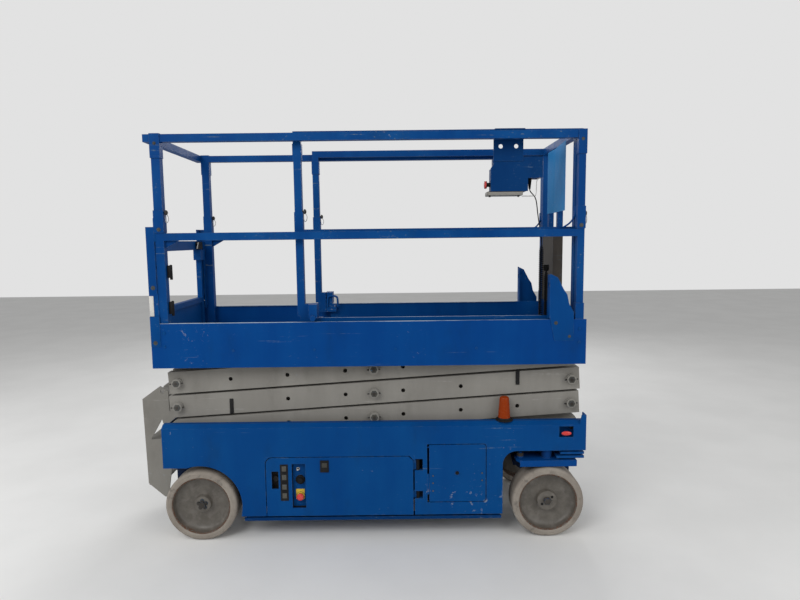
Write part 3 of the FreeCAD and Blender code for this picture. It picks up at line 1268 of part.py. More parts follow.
def storage_box():
    """Open-topped box hooked over the front rail's middle tube."""
    wall = 4.0
    x = (BOX_X[0], EXT_FRONT_POST_X[0] - SEAT_GAP)
    shell = block(x, BOX_Y, BOX_Z)
    hollow_x = (x[0] + wall, x[1] - wall)
    hollow_y = (BOX_Y[0] + wall, BOX_Y[1] - wall)
    box = cut(shell, [block(hollow_x, hollow_y, (BOX_Z[0] + wall, BOX_Z[1] + 1.0))])
    hook_z = (EXT_MID_TOP_Z + SEAT_GAP, EXT_MID_TOP_Z + SEAT_GAP + wall)
    back = block((x[1] - wall, x[1]), BOX_Y, (BOX_Z[1], hook_z[1]))
    hook_x = (x[1] - wall, x[1] + BOX_HOOK_REACH)
    hooks = [block(hook_x, y, hook_z) for y in BOX_HOOKS_Y]
    return fused([box, back] + hooks)


CONTROL_PLATE = [
    (725.0, 1837.0),
    (725.0, 1956.0),
    (738.0, 1972.0),
    (738.0, 2012.0),
    (996.0, 2012.0),
    (996.0, 1904.0),
    (919.0, 1904.0),
    (919.0, 1837.0),
]
CONTROL_BODY_OUT = (214.0, 300.0)
HOOK_X = (738.0, 892.0)


def control_box():
    """Plate and body of the platform control box, near side, inboard of the rail."""
    plate = plate_xz(CONTROL_PLATE, (CONTROL_BODY_OUT[1], CONTROL_BODY_OUT[1] + 6.0))
    inset = [(px + 6.0 if px < 800.0 else px - 6.0, pz) for px, pz in CONTROL_PLATE]
    body = plate_xz(inset, CONTROL_BODY_OUT)
    return on_side(fused([plate, body]), NEAR)


def control_switches():
    """Stop button on the end face and the grey switch panel below the box."""
    stem_x = (719.0, CONTROL_PLATE[0][0] + 6.0)
    middle = (CONTROL_BODY_OUT[0] + CONTROL_BODY_OUT[1]) / 2.0
    stop_stem = rod_x((711.0, stem_x[1] - SEAT_GAP), middle, 1875.0, 11.0)
    stop_cap = rod_x((699.0, 711.0), middle, 1875.0, 19.0)
    face = CONTROL_BODY_OUT[0] - SEAT_GAP
    panel = block((712.0, 892.0), (face - SHEET, CONTROL_BODY_OUT[1] + 4.0), (1818.0, 1837.0 - SEAT_GAP))
    dash = block((740.0, 892.0), (face - SHEET, face), (1818.0, 1955.0))
    knobs = [rod_y(x, (face - 18.0, face - 5.0), 1880.0, 8.0) for x in (762.0, 797.0, 874.0)]
    grip = rod_y(845.0, (face - 74.0, face - 5.0), 1915.0, 12.0)
    return [on_side(fused([stop_stem, stop_cap]), NEAR), on_side(fused([panel, dash, grip] + knobs), NEAR)]


def control_hook():
    """Plate that hooks over the top rail and carries the control box."""
    face = EXT_RAIL_OUT - RAIL - SEAT_GAP
    low = CONTROL_BODY_OUT[1] + 6.0 + SEAT_GAP
    top = EXT_TOP_Z + SEAT_GAP
    plate = block(HOOK_X, (low, face), (1990.0, top + 3.0))
    holes = [rod_y(x, (low - 1.0, face + 1.0), 2065.0, 11.0) for x in (775.0, 855.0)]
    over = block(HOOK_X, (low, EXT_RAIL_OUT + 3.0), (top, top + 3.0))
    lip = block(HOOK_X, (EXT_RAIL_OUT + SEAT_GAP, EXT_RAIL_OUT + 3.0), (top - 22.0, top))
    return on_side(fused([cut(plate, holes), over, lip]), NEAR)


def gate_pull():
    """Loop handle and lever that lock the extension, on its far side."""
    y = EXT_RAIL_OUT - RAIL - 6.0
    top = 1242.0
    foot = EXT_TOE_TOP_Z + 10.0
    legs = [rod_z(x, y, (foot, top), 5.5) for x in (-214.0, -152.0)]
    bar = rod_x((-219.5, -146.5), y, top, 6.0)
    mount = block((-222.0, -142.0), (y - 8.0, EXT_RAIL_OUT - RAIL - SEAT_GAP), (foot - 26.0, foot + 2.0))
    return fused(legs + [bar, mount])


COIL_AT = (980.0, -295.0)
COIL_RETURN_X = 1010.0
COIL_TOP_Z = 1555.0
COIL_BOTTOM_Z = 1125.0
RETURN_TOP_Z = 1420.0
CORD_EXIT = (933.0, -280.0, 1850.0)
CORD_POINTS = (
    CORD_EXIT,
    (933.0, -280.0, 1800.0),
    (943.0, -284.0, 1745.0),
    (957.0, -288.0, 1690.0),
    (971.0, -292.0, 1637.0),
    (980.0, -295.0, 1594.0),
    (980.0, -295.0, 1555.0),
)
CORD_RADIUS = 3.2


def strain_relief():
    """Tapered sleeve where the control cord leaves the box."""
    x, y, z = CORD_EXIT
    top = CONTROL_PLATE[5][1] - SEAT_GAP
    return Part.makeCone(CORD_RADIUS + 2.0, 11.0, top - z, Vector(x, y, z))


def cord_path(points):
    """Straight runs joined by tangent arcs, each as large as its runs allow."""
    corners = [Vector(*point) for point in points]
    edges = []
    start = corners[0]
    for index in range(1, len(corners) - 1):
        before = corners[index] - corners[index - 1]
        after = corners[index + 1] - corners[index]
        shorter = min(before.Length, after.Length)
        turn = before.getAngle(after)
        trim = 0.45 * shorter
        print("cord arc radius", round(trim / math.tan(turn / 2.0), 1))
        entry = corners[index] - before.normalize() * trim
        leave = corners[index] + after.normalize() * trim
        chord = (entry + leave) / 2.0
        radius = trim / math.tan(turn / 2.0)
        centre_way = (chord - corners[index]).normalize()
        centre = corners[index] + centre_way * (radius / math.cos(turn / 2.0))
        middle = centre - centre_way * radius
        edges.append(Part.LineSegment(start, entry).toShape())
        edges.append(Part.Arc(entry, middle, leave).toShape())
        start = leave
    edges.append(Part.LineSegment(start, corners[-1]).toShape())
    return Part.Wire(edges)


def cord_lead():
    path = cord_path(CORD_POINTS)
    first = Vector(*CORD_POINTS[0])
    way = Vector(*CORD_POINTS[1]) - first
    ring = Part.Wire([Part.makeCircle(CORD_RADIUS, first, way)])
    tube = path.makePipeShell([ring], True, False)
    expected = math.pi * CORD_RADIUS ** 2 * path.Length
    print("cord length", round(path.Length, 1), "volume ratio", round(tube.Volume / expected, 4))
    return tube


def cord_coil():
    """Outer shape of the curly length: down, round a tight bend and up to its socket."""
    x, y = COIL_AT
    radius = COIL_RADIUS - 1.0
    down = rod_z(x, y, (COIL_BOTTOM_Z, COIL_TOP_Z), radius)
    up = rod_z(COIL_RETURN_X, y, (COIL_BOTTOM_Z, RETURN_TOP_Z), radius)
    bend_radius = (COIL_RETURN_X - x) / 2.0
    ring = Part.Face(Part.Wire([Part.makeCircle(radius, Vector(x, y, COIL_BOTTOM_Z), Vector(0, 0, 1))]))
    bend = ring.revolve(Vector(x + bend_radius, y, COIL_BOTTOM_Z), Vector(0, -1, 0), 180)
    return fused([down, bend, up])


def cord_socket():
    """Socket and its stay plate, standing on the extension's near side board."""
    x = COIL_RETURN_X
    y = COIL_AT[1]
    body = rod_z(x, y, (RETURN_TOP_Z, RETURN_TOP_Z + 34.0), 14.0)
    stay_y = (-EXT_TOE_OUT + TOE_THICK + SEAT_GAP, -EXT_TOE_OUT + TOE_THICK + 4.0)
    stay = block((x - 14.0, x + 14.0), stay_y, (1100.0, RETURN_TOP_Z + 34.0))
    link = block((x - 10.0, x + 10.0), (stay_y[0], y), (RETURN_TOP_Z + 6.0, RETURN_TOP_Z + 28.0))
    return fused([body, stay, link])


def export_chassis():
    save("chassis_frame", [chassis_frame()])
    for name, side in SIDES:
        save("chassis_side_" + name, [chassis_side(side)])
    save("rear_axles", both_sides(rear_axle()))
    save("lower_pivots", lower_pivots())
    save("entry_ladder", [entry_ladder()])
    save("beacon", [beacon()])
    save("front_brackets", both_sides(front_brackets()))


def export_wheels():
    ends = (("front", FRONT_AXLE_X, FRONT_HUB_RADIUS), ("rear", REAR_AXLE_X, REAR_HUB_RADIUS))
    for end, x, hub_radius in ends:
        for name, side in SIDES:
            save("tyre_" + end + "_" + name, [tyre(x, side)])
            save("rim_" + end + "_" + name, [rim(x, side, hub_radius)])
    for name, side in SIDES:
        save("knuckle_" + name, [knuckle(side)])
    save("tie_rod", [tie_rod()])


def export_trays():
    for name, side in SIDES:
        save("tray_panel_" + name, [tray_panel(side)])
        save("pothole_guard_" + name, [pothole_guard(side)])
    save("ground_controls", ground_controls())
    save("power_module", power_module())
    save("batteries", batteries())
    save("service_door", [service_door()])


def export_arms():
    for level in range(1, LEVELS + 1):
        save("outer_arm_" + str(level), outer_arm(level))
        save("inner_arm_" + str(level), inner_arm(level))
    save("lower_pads", slider_pads(ARM_SLIDE_X, ARM_FIRST_Z))
    save("upper_pads", slider_pads(ARM_SLIDE_X, ARM_TOP_Z))
    save("lift_barrel", [lift_barrel()])
    save("lift_rod", [lift_rod()])


def export_platform():
    save("platform_deck", [platform_deck()])
    save("platform_runners", platform_runners())
    save("toe_boards", [toe_boards()])
    for name, side in SIDES:
        save("main_rail_" + name, [main_rail(side)])
        save("extension_rail_" + name, [extension_rail(side)])
        save("anchor_bracket_" + name, [on_side(anchor_bracket(), side)])
    save("entry_frame", entry_frame())
    save("gate", [gate()])
    save("extension_tray", [extension_tray()])
    save("front_rail", [front_rail()])
    save("front_panel", [front_panel()])
    save("storage_box", [storage_box()])
    save("extension_latch", [gate_pull()])


def export_controls():
    save("control_box", [control_box()])
    save("control_switches", control_switches())
    save("control_hook", [control_hook()])
    save("strain_relief", [strain_relief()])
    save("control_cord_lead", [cord_lead()])
    save("control_cord_coil", [cord_coil()])
    save("cord_socket", [cord_socket()])


def main():
    os.makedirs("parts", exist_ok=True)
    export_chassis()
    export_wheels()
    export_trays()
    export_arms()
    export_platform()
    export_controls()


main()
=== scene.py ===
import json
import logging
import math
from abc import ABC, abstractmethod
from dataclasses import dataclass
from enum import Enum
from typing import Iterable, Optional, Sequence, Union

import bmesh
import bpy
from mathutils import Matrix, Vector


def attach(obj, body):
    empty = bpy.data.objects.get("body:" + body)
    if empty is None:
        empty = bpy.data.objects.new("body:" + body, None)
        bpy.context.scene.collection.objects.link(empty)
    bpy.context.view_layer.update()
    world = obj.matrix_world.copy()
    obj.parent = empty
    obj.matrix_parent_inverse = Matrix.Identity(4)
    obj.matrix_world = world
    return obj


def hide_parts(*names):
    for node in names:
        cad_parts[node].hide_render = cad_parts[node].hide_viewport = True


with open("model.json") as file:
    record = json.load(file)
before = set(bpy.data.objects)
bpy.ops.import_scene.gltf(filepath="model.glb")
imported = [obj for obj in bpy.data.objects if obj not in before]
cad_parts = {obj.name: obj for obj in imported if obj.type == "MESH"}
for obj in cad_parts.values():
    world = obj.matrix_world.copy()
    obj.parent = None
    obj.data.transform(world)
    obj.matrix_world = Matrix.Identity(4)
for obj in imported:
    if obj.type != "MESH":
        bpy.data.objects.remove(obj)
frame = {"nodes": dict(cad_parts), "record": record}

LOG = logging.getLogger("scissor_lift")
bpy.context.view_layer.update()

Point = tuple[float, float, float]
Flat = tuple[float, float]
Colour = tuple[float, float, float]
Value = Union["Sock", float]

NEAR, FAR = -1.0, 1.0
SIDES = {"near": NEAR, "far": FAR}
MM = 0.001
EVEN: Point = (1.0, 1.0, 1.0)
UNMOVED: Point = (0.0, 0.0, 0.0)
UP: Point = (0.0, 0.0, 1.0)
DOWN: Point = (0.0, 0.0, -1.0)


class Sock:
    """One value in a node tree, written with plain arithmetic."""

    def __init__(self, owner: "Tree", out: bpy.types.NodeSocket) -> None:
        """Keep the tree and the socket that carries the value."""
        self.owner = owner
        self.out = out

    def _math(self, operation: str, *values: Value) -> "Sock":
        """Add one Math node.

        Args:
            operation: the Math node's operation.
            values: its one or two inputs.

        Returns:
            The result's socket.
        """
        return self.owner.node("ShaderNodeMath", {"operation": operation}, dict(enumerate(values)))

    def __add__(self, other: Value) -> "Sock":
        """Return self + other."""
        return self._math("ADD", self, other)

    def __radd__(self, other: Value) -> "Sock":
        """Return other + self."""
        return self._math("ADD", other, self)

    def __sub__(self, other: Value) -> "Sock":
        """Return self - other."""
        return self._math("SUBTRACT", self, other)

    def __rsub__(self, other: Value) -> "Sock":
        """Return other - self."""
        return self._math("SUBTRACT", other, self)

    def __mul__(self, other: Value) -> "Sock":
        """Return self * other."""
        return self._math("MULTIPLY", self, other)

    def __rmul__(self, other: Value) -> "Sock":
        """Return other * self."""
        return self._math("MULTIPLY", other, self)

    def __pow__(self, other: Value) -> "Sock":
        """Return self to the power of other."""
        return self._math("POWER", self, other)

    def __abs__(self) -> "Sock":
        """Return the value without its sign."""
        return self._math("ABSOLUTE", self)

    def sine(self) -> "Sock":
        """Return the value's sine."""
        return self._math("SINE", self)

    def peak(self, other: Value) -> "Sock":
        """Return the larger of the two values."""
        return self._math("MAXIMUM", self, other)

    def between(self, low: float, high: float) -> "Sock":
        """Return 0 below low, 1 above high, with a smooth step from one to the other."""
        settings = {"interpolation_type": "SMOOTHSTEP", "clamp": True}
        inputs = {"Value": self, "From Min": low, "From Max": high}
        return self.owner.node("ShaderNodeMapRange", settings, inputs)

    def beside(self, output: Union[int, str]) -> "Sock":
        """Return another output of the same node."""
        return Sock(self.owner, self.out.node.outputs[output])


class Tree:
    """A node tree whose nodes are made, set and wired in one call each."""

    def __init__(self, tree: bpy.types.NodeTree) -> None:
        """Take over a node tree and empty it."""
        self.tree = tree
        self.tree.nodes.clear()

    def node(self, kind: str, settings: Optional[dict] = None, inputs: Optional[dict] = None,
             output: Union[int, str] = 0) -> Sock:
        """Make one node.

        Args:
            kind: the node's type.
            settings: its properties, set before its sockets.
            inputs: values or sockets by the input's name or number.
            output: the output to return, by name or number.

        Returns:
            The chosen output.
        """
        made = self.tree.nodes.new(kind)
        for key, value in (settings or {}).items():
            setattr(made, key, value)
        for key, value in (inputs or {}).items():
            self.feed(made.inputs[key], value)
        return Sock(self, made.outputs[output])

    def feed(self, target: bpy.types.NodeSocket, value: Union[Sock, float, str, Colour]) -> None:
        """Link or set one input socket."""
        if isinstance(value, Sock):
            self.tree.links.new(value.out, target)
        elif isinstance(value, (tuple, list)) and len(target.default_value) == 4:
            target.default_value = (*value[:3], 1.0)
        else:
            target.default_value = value

    def end(self, kind: str, name: str, value: Sock) -> None:
        """Add the tree's output node and feed its input of that name."""
        self.feed(self.tree.nodes.new(kind).inputs[name], value)


class Shader(Tree):
    """A material's node tree with its Principled surface."""

    def __init__(self, name: str) -> None:
        """Start an empty material of that name."""
        self.material = bpy.data.materials.new(name)
        self.material.use_nodes = True
        super().__init__(self.material.node_tree)
        surface = self.node("ShaderNodeBsdfPrincipled")
        self.end("ShaderNodeOutputMaterial", "Surface", surface)
        self.surface = surface.out.node
        self.coords = self.node("ShaderNodeTexCoord", output="Object")

    def set(self, **inputs: Union[Value, Colour]) -> None:
        """Feed the surface; a name's underscores stand for spaces."""
        for name, value in inputs.items():
            self.feed(self.surface.inputs[name.replace("_", " ")], value)

    def axes(self) -> tuple[Sock, Sock, Sock]:
        """Return the three Object coordinates as numbers, in metres."""
        x = self.node("ShaderNodeSeparateXYZ", None, {0: self.coords})
        return x, x.beside(1), x.beside(2)

    def noise(self, scale: float, detail: float = 4.0, rough: float = 0.55, stretch: Point = EVEN,
              shift: Point = UNMOVED) -> Sock:
        """Return cloudy noise from 0 to 1.

        Args:
            scale: how many clouds a metre holds.
            detail: how many finer layers are added.
            rough: how strong the finer layers are.
            stretch: the scale along each axis.
            shift: moves the pattern.

        Returns:
            The noise.
        """
        place = {"Vector": self.coords, "Scale": stretch, "Location": shift}
        inputs = {"Vector": self.node("ShaderNodeMapping", None, place), "Scale": scale,
                  "Detail": detail, "Roughness": rough}
        return self.node("ShaderNodeTexNoise", None, inputs)

    def mix(self, first: Union[Sock, Colour], second: Union[Sock, Colour], factor: Value) -> Sock:
        """Return a colour between two others.

        Args:
            first: the colour where factor is 0.
            second: the colour where factor is 1.
            factor: how much of the second.

        Returns:
            The colour.
        """
        inputs = {0: factor, 6: first, 7: second}
        return self.node("ShaderNodeMix", {"data_type": "RGBA"}, inputs, 2)

    def bump(self, height: Sock, distance: float, strength: float) -> None:
        """Turn a height from 0 to 1 into relief, distance metres deep."""
        inputs = {"Height": height, "Distance": distance, "Strength": strength}
        self.set(Normal=self.node("ShaderNodeBump", None, inputs))

    def edges(self, radius: float) -> Sock:
        """Return 1 within radius metres of a sharp edge and 0 on flat ground."""
        rounded = self.node("ShaderNodeBevel", {"samples": 4}, {"Radius": radius})
        flat = self.node("ShaderNodeNewGeometry", output="Normal")
        turn = self.node("ShaderNodeVectorMath", {"operation": "DOT_PRODUCT"},
                         {0: rounded, 1: flat}, "Value")
        return (1.0 - turn).between(0.01, 0.16)


@dataclass(frozen=True)
class WornPaint:
    """Paint on steel that has faded, scratched and chipped in use, with a painted highlight along
    its sharp edges.

    The two painted-shade fields and lip_z are places in metres, and 0 leaves out what they bring:
    painted shade inside that distance from the machine's middle, painted shade past that place
    along it, and a painted highlight on the lip just below that height.
    """

    slot: str
    base: Colour
    faded: Colour
    chip: Colour = (0.20, 0.16, 0.13)
    grime: Colour = (0.16, 0.15, 0.13)
    fade: float = 0.6
    chips: float = 0.5
    scratches: float = 0.5
    edge: float = 0.45
    gloss: float = 0.42
    coarse: float = 1.0
    sheen: float = 0.06
    # Colour of scratches, and of the painted highlight along sharp edges.
    scar_and_highlight: Colour = (0.10, 0.17, 0.26)
    bared: Colour = (0.30, 0.33, 0.36)
    # Pale colour of the painted highlight along the lip.
    lip_highlight: Colour = (0.42, 0.50, 0.58)
    # Painted shade: the dark colour laid inside the chassis and knuckles.
    inside_shade: Colour = (0.012, 0.013, 0.016)
    # Painted shade: the near-black laid past the far end, in the tray hinge's dark slot.
    black: Colour = (0.012, 0.012, 0.013)
    edge_width: float = 0.004
    relief: float = 0.0003
    lip_z: float = 0.0
    painted_shade_inside: float = 0.0
    painted_shade_beyond: float = 0.0

    def scraped(self, shader: Shader, cloud: Sock, speckle: Sock) -> Sock:
        """Return the mask of long scrapes and small flecks.

        Args:
            shader: the paint's tree.
            cloud: the broad noise that gathers the flecks.
            speckle: the fine noise that breaks the scrapes.

        Returns:
            The mask.
        """
        scrape = shader.noise(30.0, 3.0, 0.6, (0.06, 1.0, 1.6), (7.3, 0.0, 2.2))
        lines = scrape.between(0.655, 0.69) * speckle.between(0.40, 0.62) * self.scratches
        grit = shader.noise(120.0, 3.0, 0.6, (0.5, 1.0, 1.0), (4.0, 2.0, 7.0))
        flecks = grit.between(0.665, 0.70) * cloud.between(0.46, 0.62) * self.scratches
        return lines.peak(flecks)

    def with_painted_shade(self, shader: Shader, colour: Sock, cloud: Sock) -> Sock:
        """Return the colour with the painted shade inside and past the far end that this paint has.

        Args:
            shader: the paint's tree.
            colour: the colour so far.
            cloud: the broad noise that thins the painted shade inside.

        Returns:
            The colour.
        """
        # Painted shade: darkened inside that distance from the middle, where the chassis lies in
        # shade.
        if self.painted_shade_inside:
            _, across, _ = shader.axes()
            clear = abs(across).between(self.painted_shade_inside - 0.03, self.painted_shade_inside + 0.01)
            colour = shader.mix(colour, self.inside_shade, (1.0 - clear) * (0.62 + cloud * 0.4))
        # Painted shade: near-black past that place, where the hinge sits in its dark slot.
        if self.painted_shade_beyond:
            along, _, _ = shader.axes()
            past = along.between(self.painted_shade_beyond, self.painted_shade_beyond + 0.0004)
            colour = shader.mix(colour, self.black, past)
        return colour

    def build(self) -> bpy.types.Material:
        """Return the paint's material."""
        shader = Shader(self.slot)
        cloud = shader.noise(2.2 * self.coarse, 5.0)
        speckle = shader.noise(38.0 * self.coarse, 6.0, 0.7)
        runs = shader.noise(9.0, 4.0, 0.6, (1.0, 1.0, 0.12), (3.1, 1.7, 0.4))
        faded = (cloud * 0.6 + runs * 0.4).between(0.36, 0.68) * self.fade
        colour = shader.mix(self.base, self.faded, faded)
        colour = shader.mix(colour, self.scar_and_highlight, self.scraped(shader, cloud, speckle))
        patches = shader.noise(5.5, 6.0, 0.65, (1.0, 1.0, 0.5), (1.2, 5.5, 9.0))
        dirt = patches.between(0.50, 0.78) * 0.30
        colour = self.with_painted_shade(shader, shader.mix(colour, self.grime, dirt), cloud)
        # Painted highlight: a pale band just below lip_z along the top of the toe board.
        if self.lip_z:
            _, _, height = shader.axes()
            lip = height.between(self.lip_z - 0.0022, self.lip_z - 0.0006)
            colour = shader.mix(colour, self.lip_highlight, lip * cloud.between(0.40, 0.55))
        # Sharp edges take the pale scratch colour as a painted highlight, and brown chips where the
        # cloud is high.
        edge = shader.edges(self.edge_width) * speckle.between(0.42, 0.60) * self.edge
        spots = (speckle * 0.6 + cloud * 0.4).between(0.628, 0.650) * self.chips
        edge_highlight_and_chip = shader.mix(self.scar_and_highlight, self.chip, cloud.between(0.56, 0.66))
        metal = shader.mix(self.chip, self.bared, cloud.between(0.30, 0.55))
        colour = shader.mix(shader.mix(colour, edge_highlight_and_chip, edge), metal, spots)
        bare = edge.peak(spots)
        rough = self.gloss + faded * 0.16 + dirt * 0.30 + bare * 0.22
        peel = shader.noise(420.0, 2.0, 0.5) * 0.18
        shader.set(Base_Color=colour, Roughness=rough, Specular_IOR_Level=self.sheen)
        shader.bump((1.0 - bare) * 0.8 + peel, self.relief, 0.6)
        return shader.material


@dataclass(frozen=True)
class RimPaint:
    """Grey wheel paint that rusts towards the tyre and round the hub."""

    slot: str = "rim_grey"
    base: Colour = (0.090, 0.080, 0.067)
    pale: Colour = (0.160, 0.146, 0.126)
    rust: Colour = (0.075, 0.030, 0.015)
    bright_rust: Colour = (0.15, 0.065, 0.03)
    dusty: Colour = (0.22, 0.20, 0.18)
    axle_height: float = 0.1905
    axle_middle: float = 0.1
    half_wheelbase: float = 0.925
    rust_from: float = 0.1495
    relief: float = 0.0005

    def build(self) -> bpy.types.Material:
        """Return the rim's material."""
        shader = Shader(self.slot)
        x, _, z = shader.axes()
        along = abs(x - self.axle_middle) - self.half_wheelbase
        up = z - self.axle_height
        radius = (along * along + up * up) ** 0.5
        cloud = shader.noise(14.0, 6.0, 0.7)
        fine = shader.noise(120.0, 4.0, 0.7)
        wavy = radius + cloud * 0.010 - 0.005
        ring = wavy.between(self.rust_from - 0.003, self.rust_from + 0.002)
        specks = (fine * 0.55 + cloud * 0.45).between(0.62, 0.68) * 0.7
        rust = (ring * fine.between(0.40, 0.52)).peak(specks)
        grey = shader.mix(self.base, self.pale, cloud.between(0.35, 0.7) * 0.7)
        brown = shader.mix(self.rust, self.bright_rust, fine.between(0.45, 0.70))
        dust = shader.noise(22.0, 5.0, 0.6, EVEN, (4.0, 2.0, 1.0)).between(0.48, 0.72) * 0.35
        shader.set(Base_Color=shader.mix(shader.mix(grey, self.dusty, dust), brown, rust),
                   Roughness=0.45 + rust * 0.35 + dust * 0.2)
        shader.bump(rust * fine + fine * 0.1, self.relief, 0.7)
        return shader.material


@dataclass(frozen=True)
class SolidTyre:
    """Pale non-marking rubber, dusty and scuffed."""

    slot: str = "tyre"
    base: Colour = (0.225, 0.195, 0.165)
    pale: Colour = (0.30, 0.268, 0.23)
    scuff: Colour = (0.105, 0.097, 0.085)
    dust: Colour = (0.30, 0.27, 0.23)
    relief: float = 0.0006

    def build(self) -> bpy.types.Material:
        """Return the tyre's material."""
        shader = Shader(self.slot)
        cloud = shader.noise(7.0, 6.0, 0.65)
        fine = shader.noise(160.0, 4.0, 0.7)
        marks = shader.noise(26.0, 4.0, 0.6, (1.0, 0.3, 1.0), (2.0, 8.0, 5.0)).between(0.54, 0.70)
        colour = shader.mix(self.base, self.pale, cloud.between(0.35, 0.68))
        colour = shader.mix(colour, self.scuff, marks * 0.6)
        colour = shader.mix(colour, self.dust, fine.between(0.55, 0.75) * 0.35)
        shader.set(Base_Color=colour, Roughness=0.82 + marks * 0.1)
        shader.bump(fine * 0.6 + marks * 0.4, self.relief, 0.6)
        return shader.material


@dataclass(frozen=True)
class BareMetal:
    """Plated steel with fine tool lines and dull patches."""

    slot: str
    base: Colour
    tarnish: Colour
    rough: float = 0.36
    lines: Point = (1.0, 0.05, 1.0)
    relief: float = 0.0001

    def build(self) -> bpy.types.Material:
        """Return the metal's material."""
        shader = Shader(self.slot)
        grain = shader.noise(300.0, 3.0, 0.6, self.lines)
        dull = shader.noise(16.0, 5.0, 0.6).between(0.42, 0.68)
        shader.set(Base_Color=shader.mix(self.base, self.tarnish, dull * 0.8),
                   Metallic=0.9 - dull * 0.35, Roughness=self.rough + dull * 0.25 + grain * 0.12)
        shader.bump(grain, self.relief, 0.5)
        return shader.material


@dataclass(frozen=True)
class Moulded:
    """Moulded plastic or rubber with a fine grain and dust in it."""

    slot: str
    base: Colour
    dust: Colour
    rough: float = 0.5
    grain: float = 500.0
    relief: float = 0.0001
    dusty: float = 0.35
    sheen: float = 0.5

    def build(self) -> bpy.types.Material:
        """Return the plastic's material."""
        shader = Shader(self.slot)
        cloud = shader.noise(11.0, 6.0, 0.62)
        grain = shader.noise(self.grain, 2.0, 0.5)
        veil = (cloud * 0.7 + grain * 0.3).between(0.44, 0.70) * self.dusty
        shader.set(Base_Color=shader.mix(self.base, self.dust, veil),
                   Roughness=self.rough + veil * 0.35, Specular_IOR_Level=self.sheen)
        shader.bump(grain, self.relief, 0.7)
        return shader.material


@dataclass(frozen=True)
class TreadPlate:
    """Rolled deck plate with raised bars, bright from wear on their tops."""

    slot: str = "deck_steel"
    base: Colour = (0.30, 0.31, 0.32)
    bright: Colour = (0.47, 0.47, 0.47)
    mud: Colour = (0.20, 0.17, 0.14)
    pitch: float = 0.028
    relief: float = 0.0012

    def build(self) -> bpy.types.Material:
        """Return the deck's material."""
        shader = Shader(self.slot)
        x, y, _ = shader.axes()
        wave = 2.0 * math.pi / self.pitch
        bars = (((x + y) * wave).sine() * ((x - y) * wave).sine()).between(0.45, 0.75)
        cloud = shader.noise(4.0, 6.0, 0.65)
        fine = shader.noise(90.0, 4.0, 0.7)
        colour = shader.mix(self.base, self.bright, bars * fine.between(0.3, 0.6) * 0.8)
        colour = shader.mix(colour, self.mud, cloud.between(0.48, 0.72) * 0.5)
        shader.set(Base_Color=colour, Roughness=0.5 + cloud * 0.2, Metallic=0.25)
        shader.bump(bars + fine * 0.1, self.relief, 0.8)
        return shader.material


@dataclass(frozen=True)
class AmberLens:
    """Moulded amber lens with fine ribs and a dusty skin."""

    slot: str = "amber"
    base: Colour = (0.25, 0.030, 0.001)
    dust: Colour = (0.24, 0.06, 0.012)
    rib_turns: float = 900.0
    relief: float = 0.0006

    def build(self) -> bpy.types.Material:
        """Return the lens's material."""
        shader = Shader(self.slot)
        _, _, z = shader.axes()
        dust = shader.noise(60.0, 5.0, 0.6).between(0.45, 0.75)
        shader.set(Base_Color=shader.mix(self.base, self.dust, dust * 0.3),
                   Roughness=0.18 + dust * 0.3, Specular_IOR_Level=0.12)
        shader.bump((z * self.rib_turns).sine() * 0.5 + 0.5, self.relief, 0.5)
        return shader.material


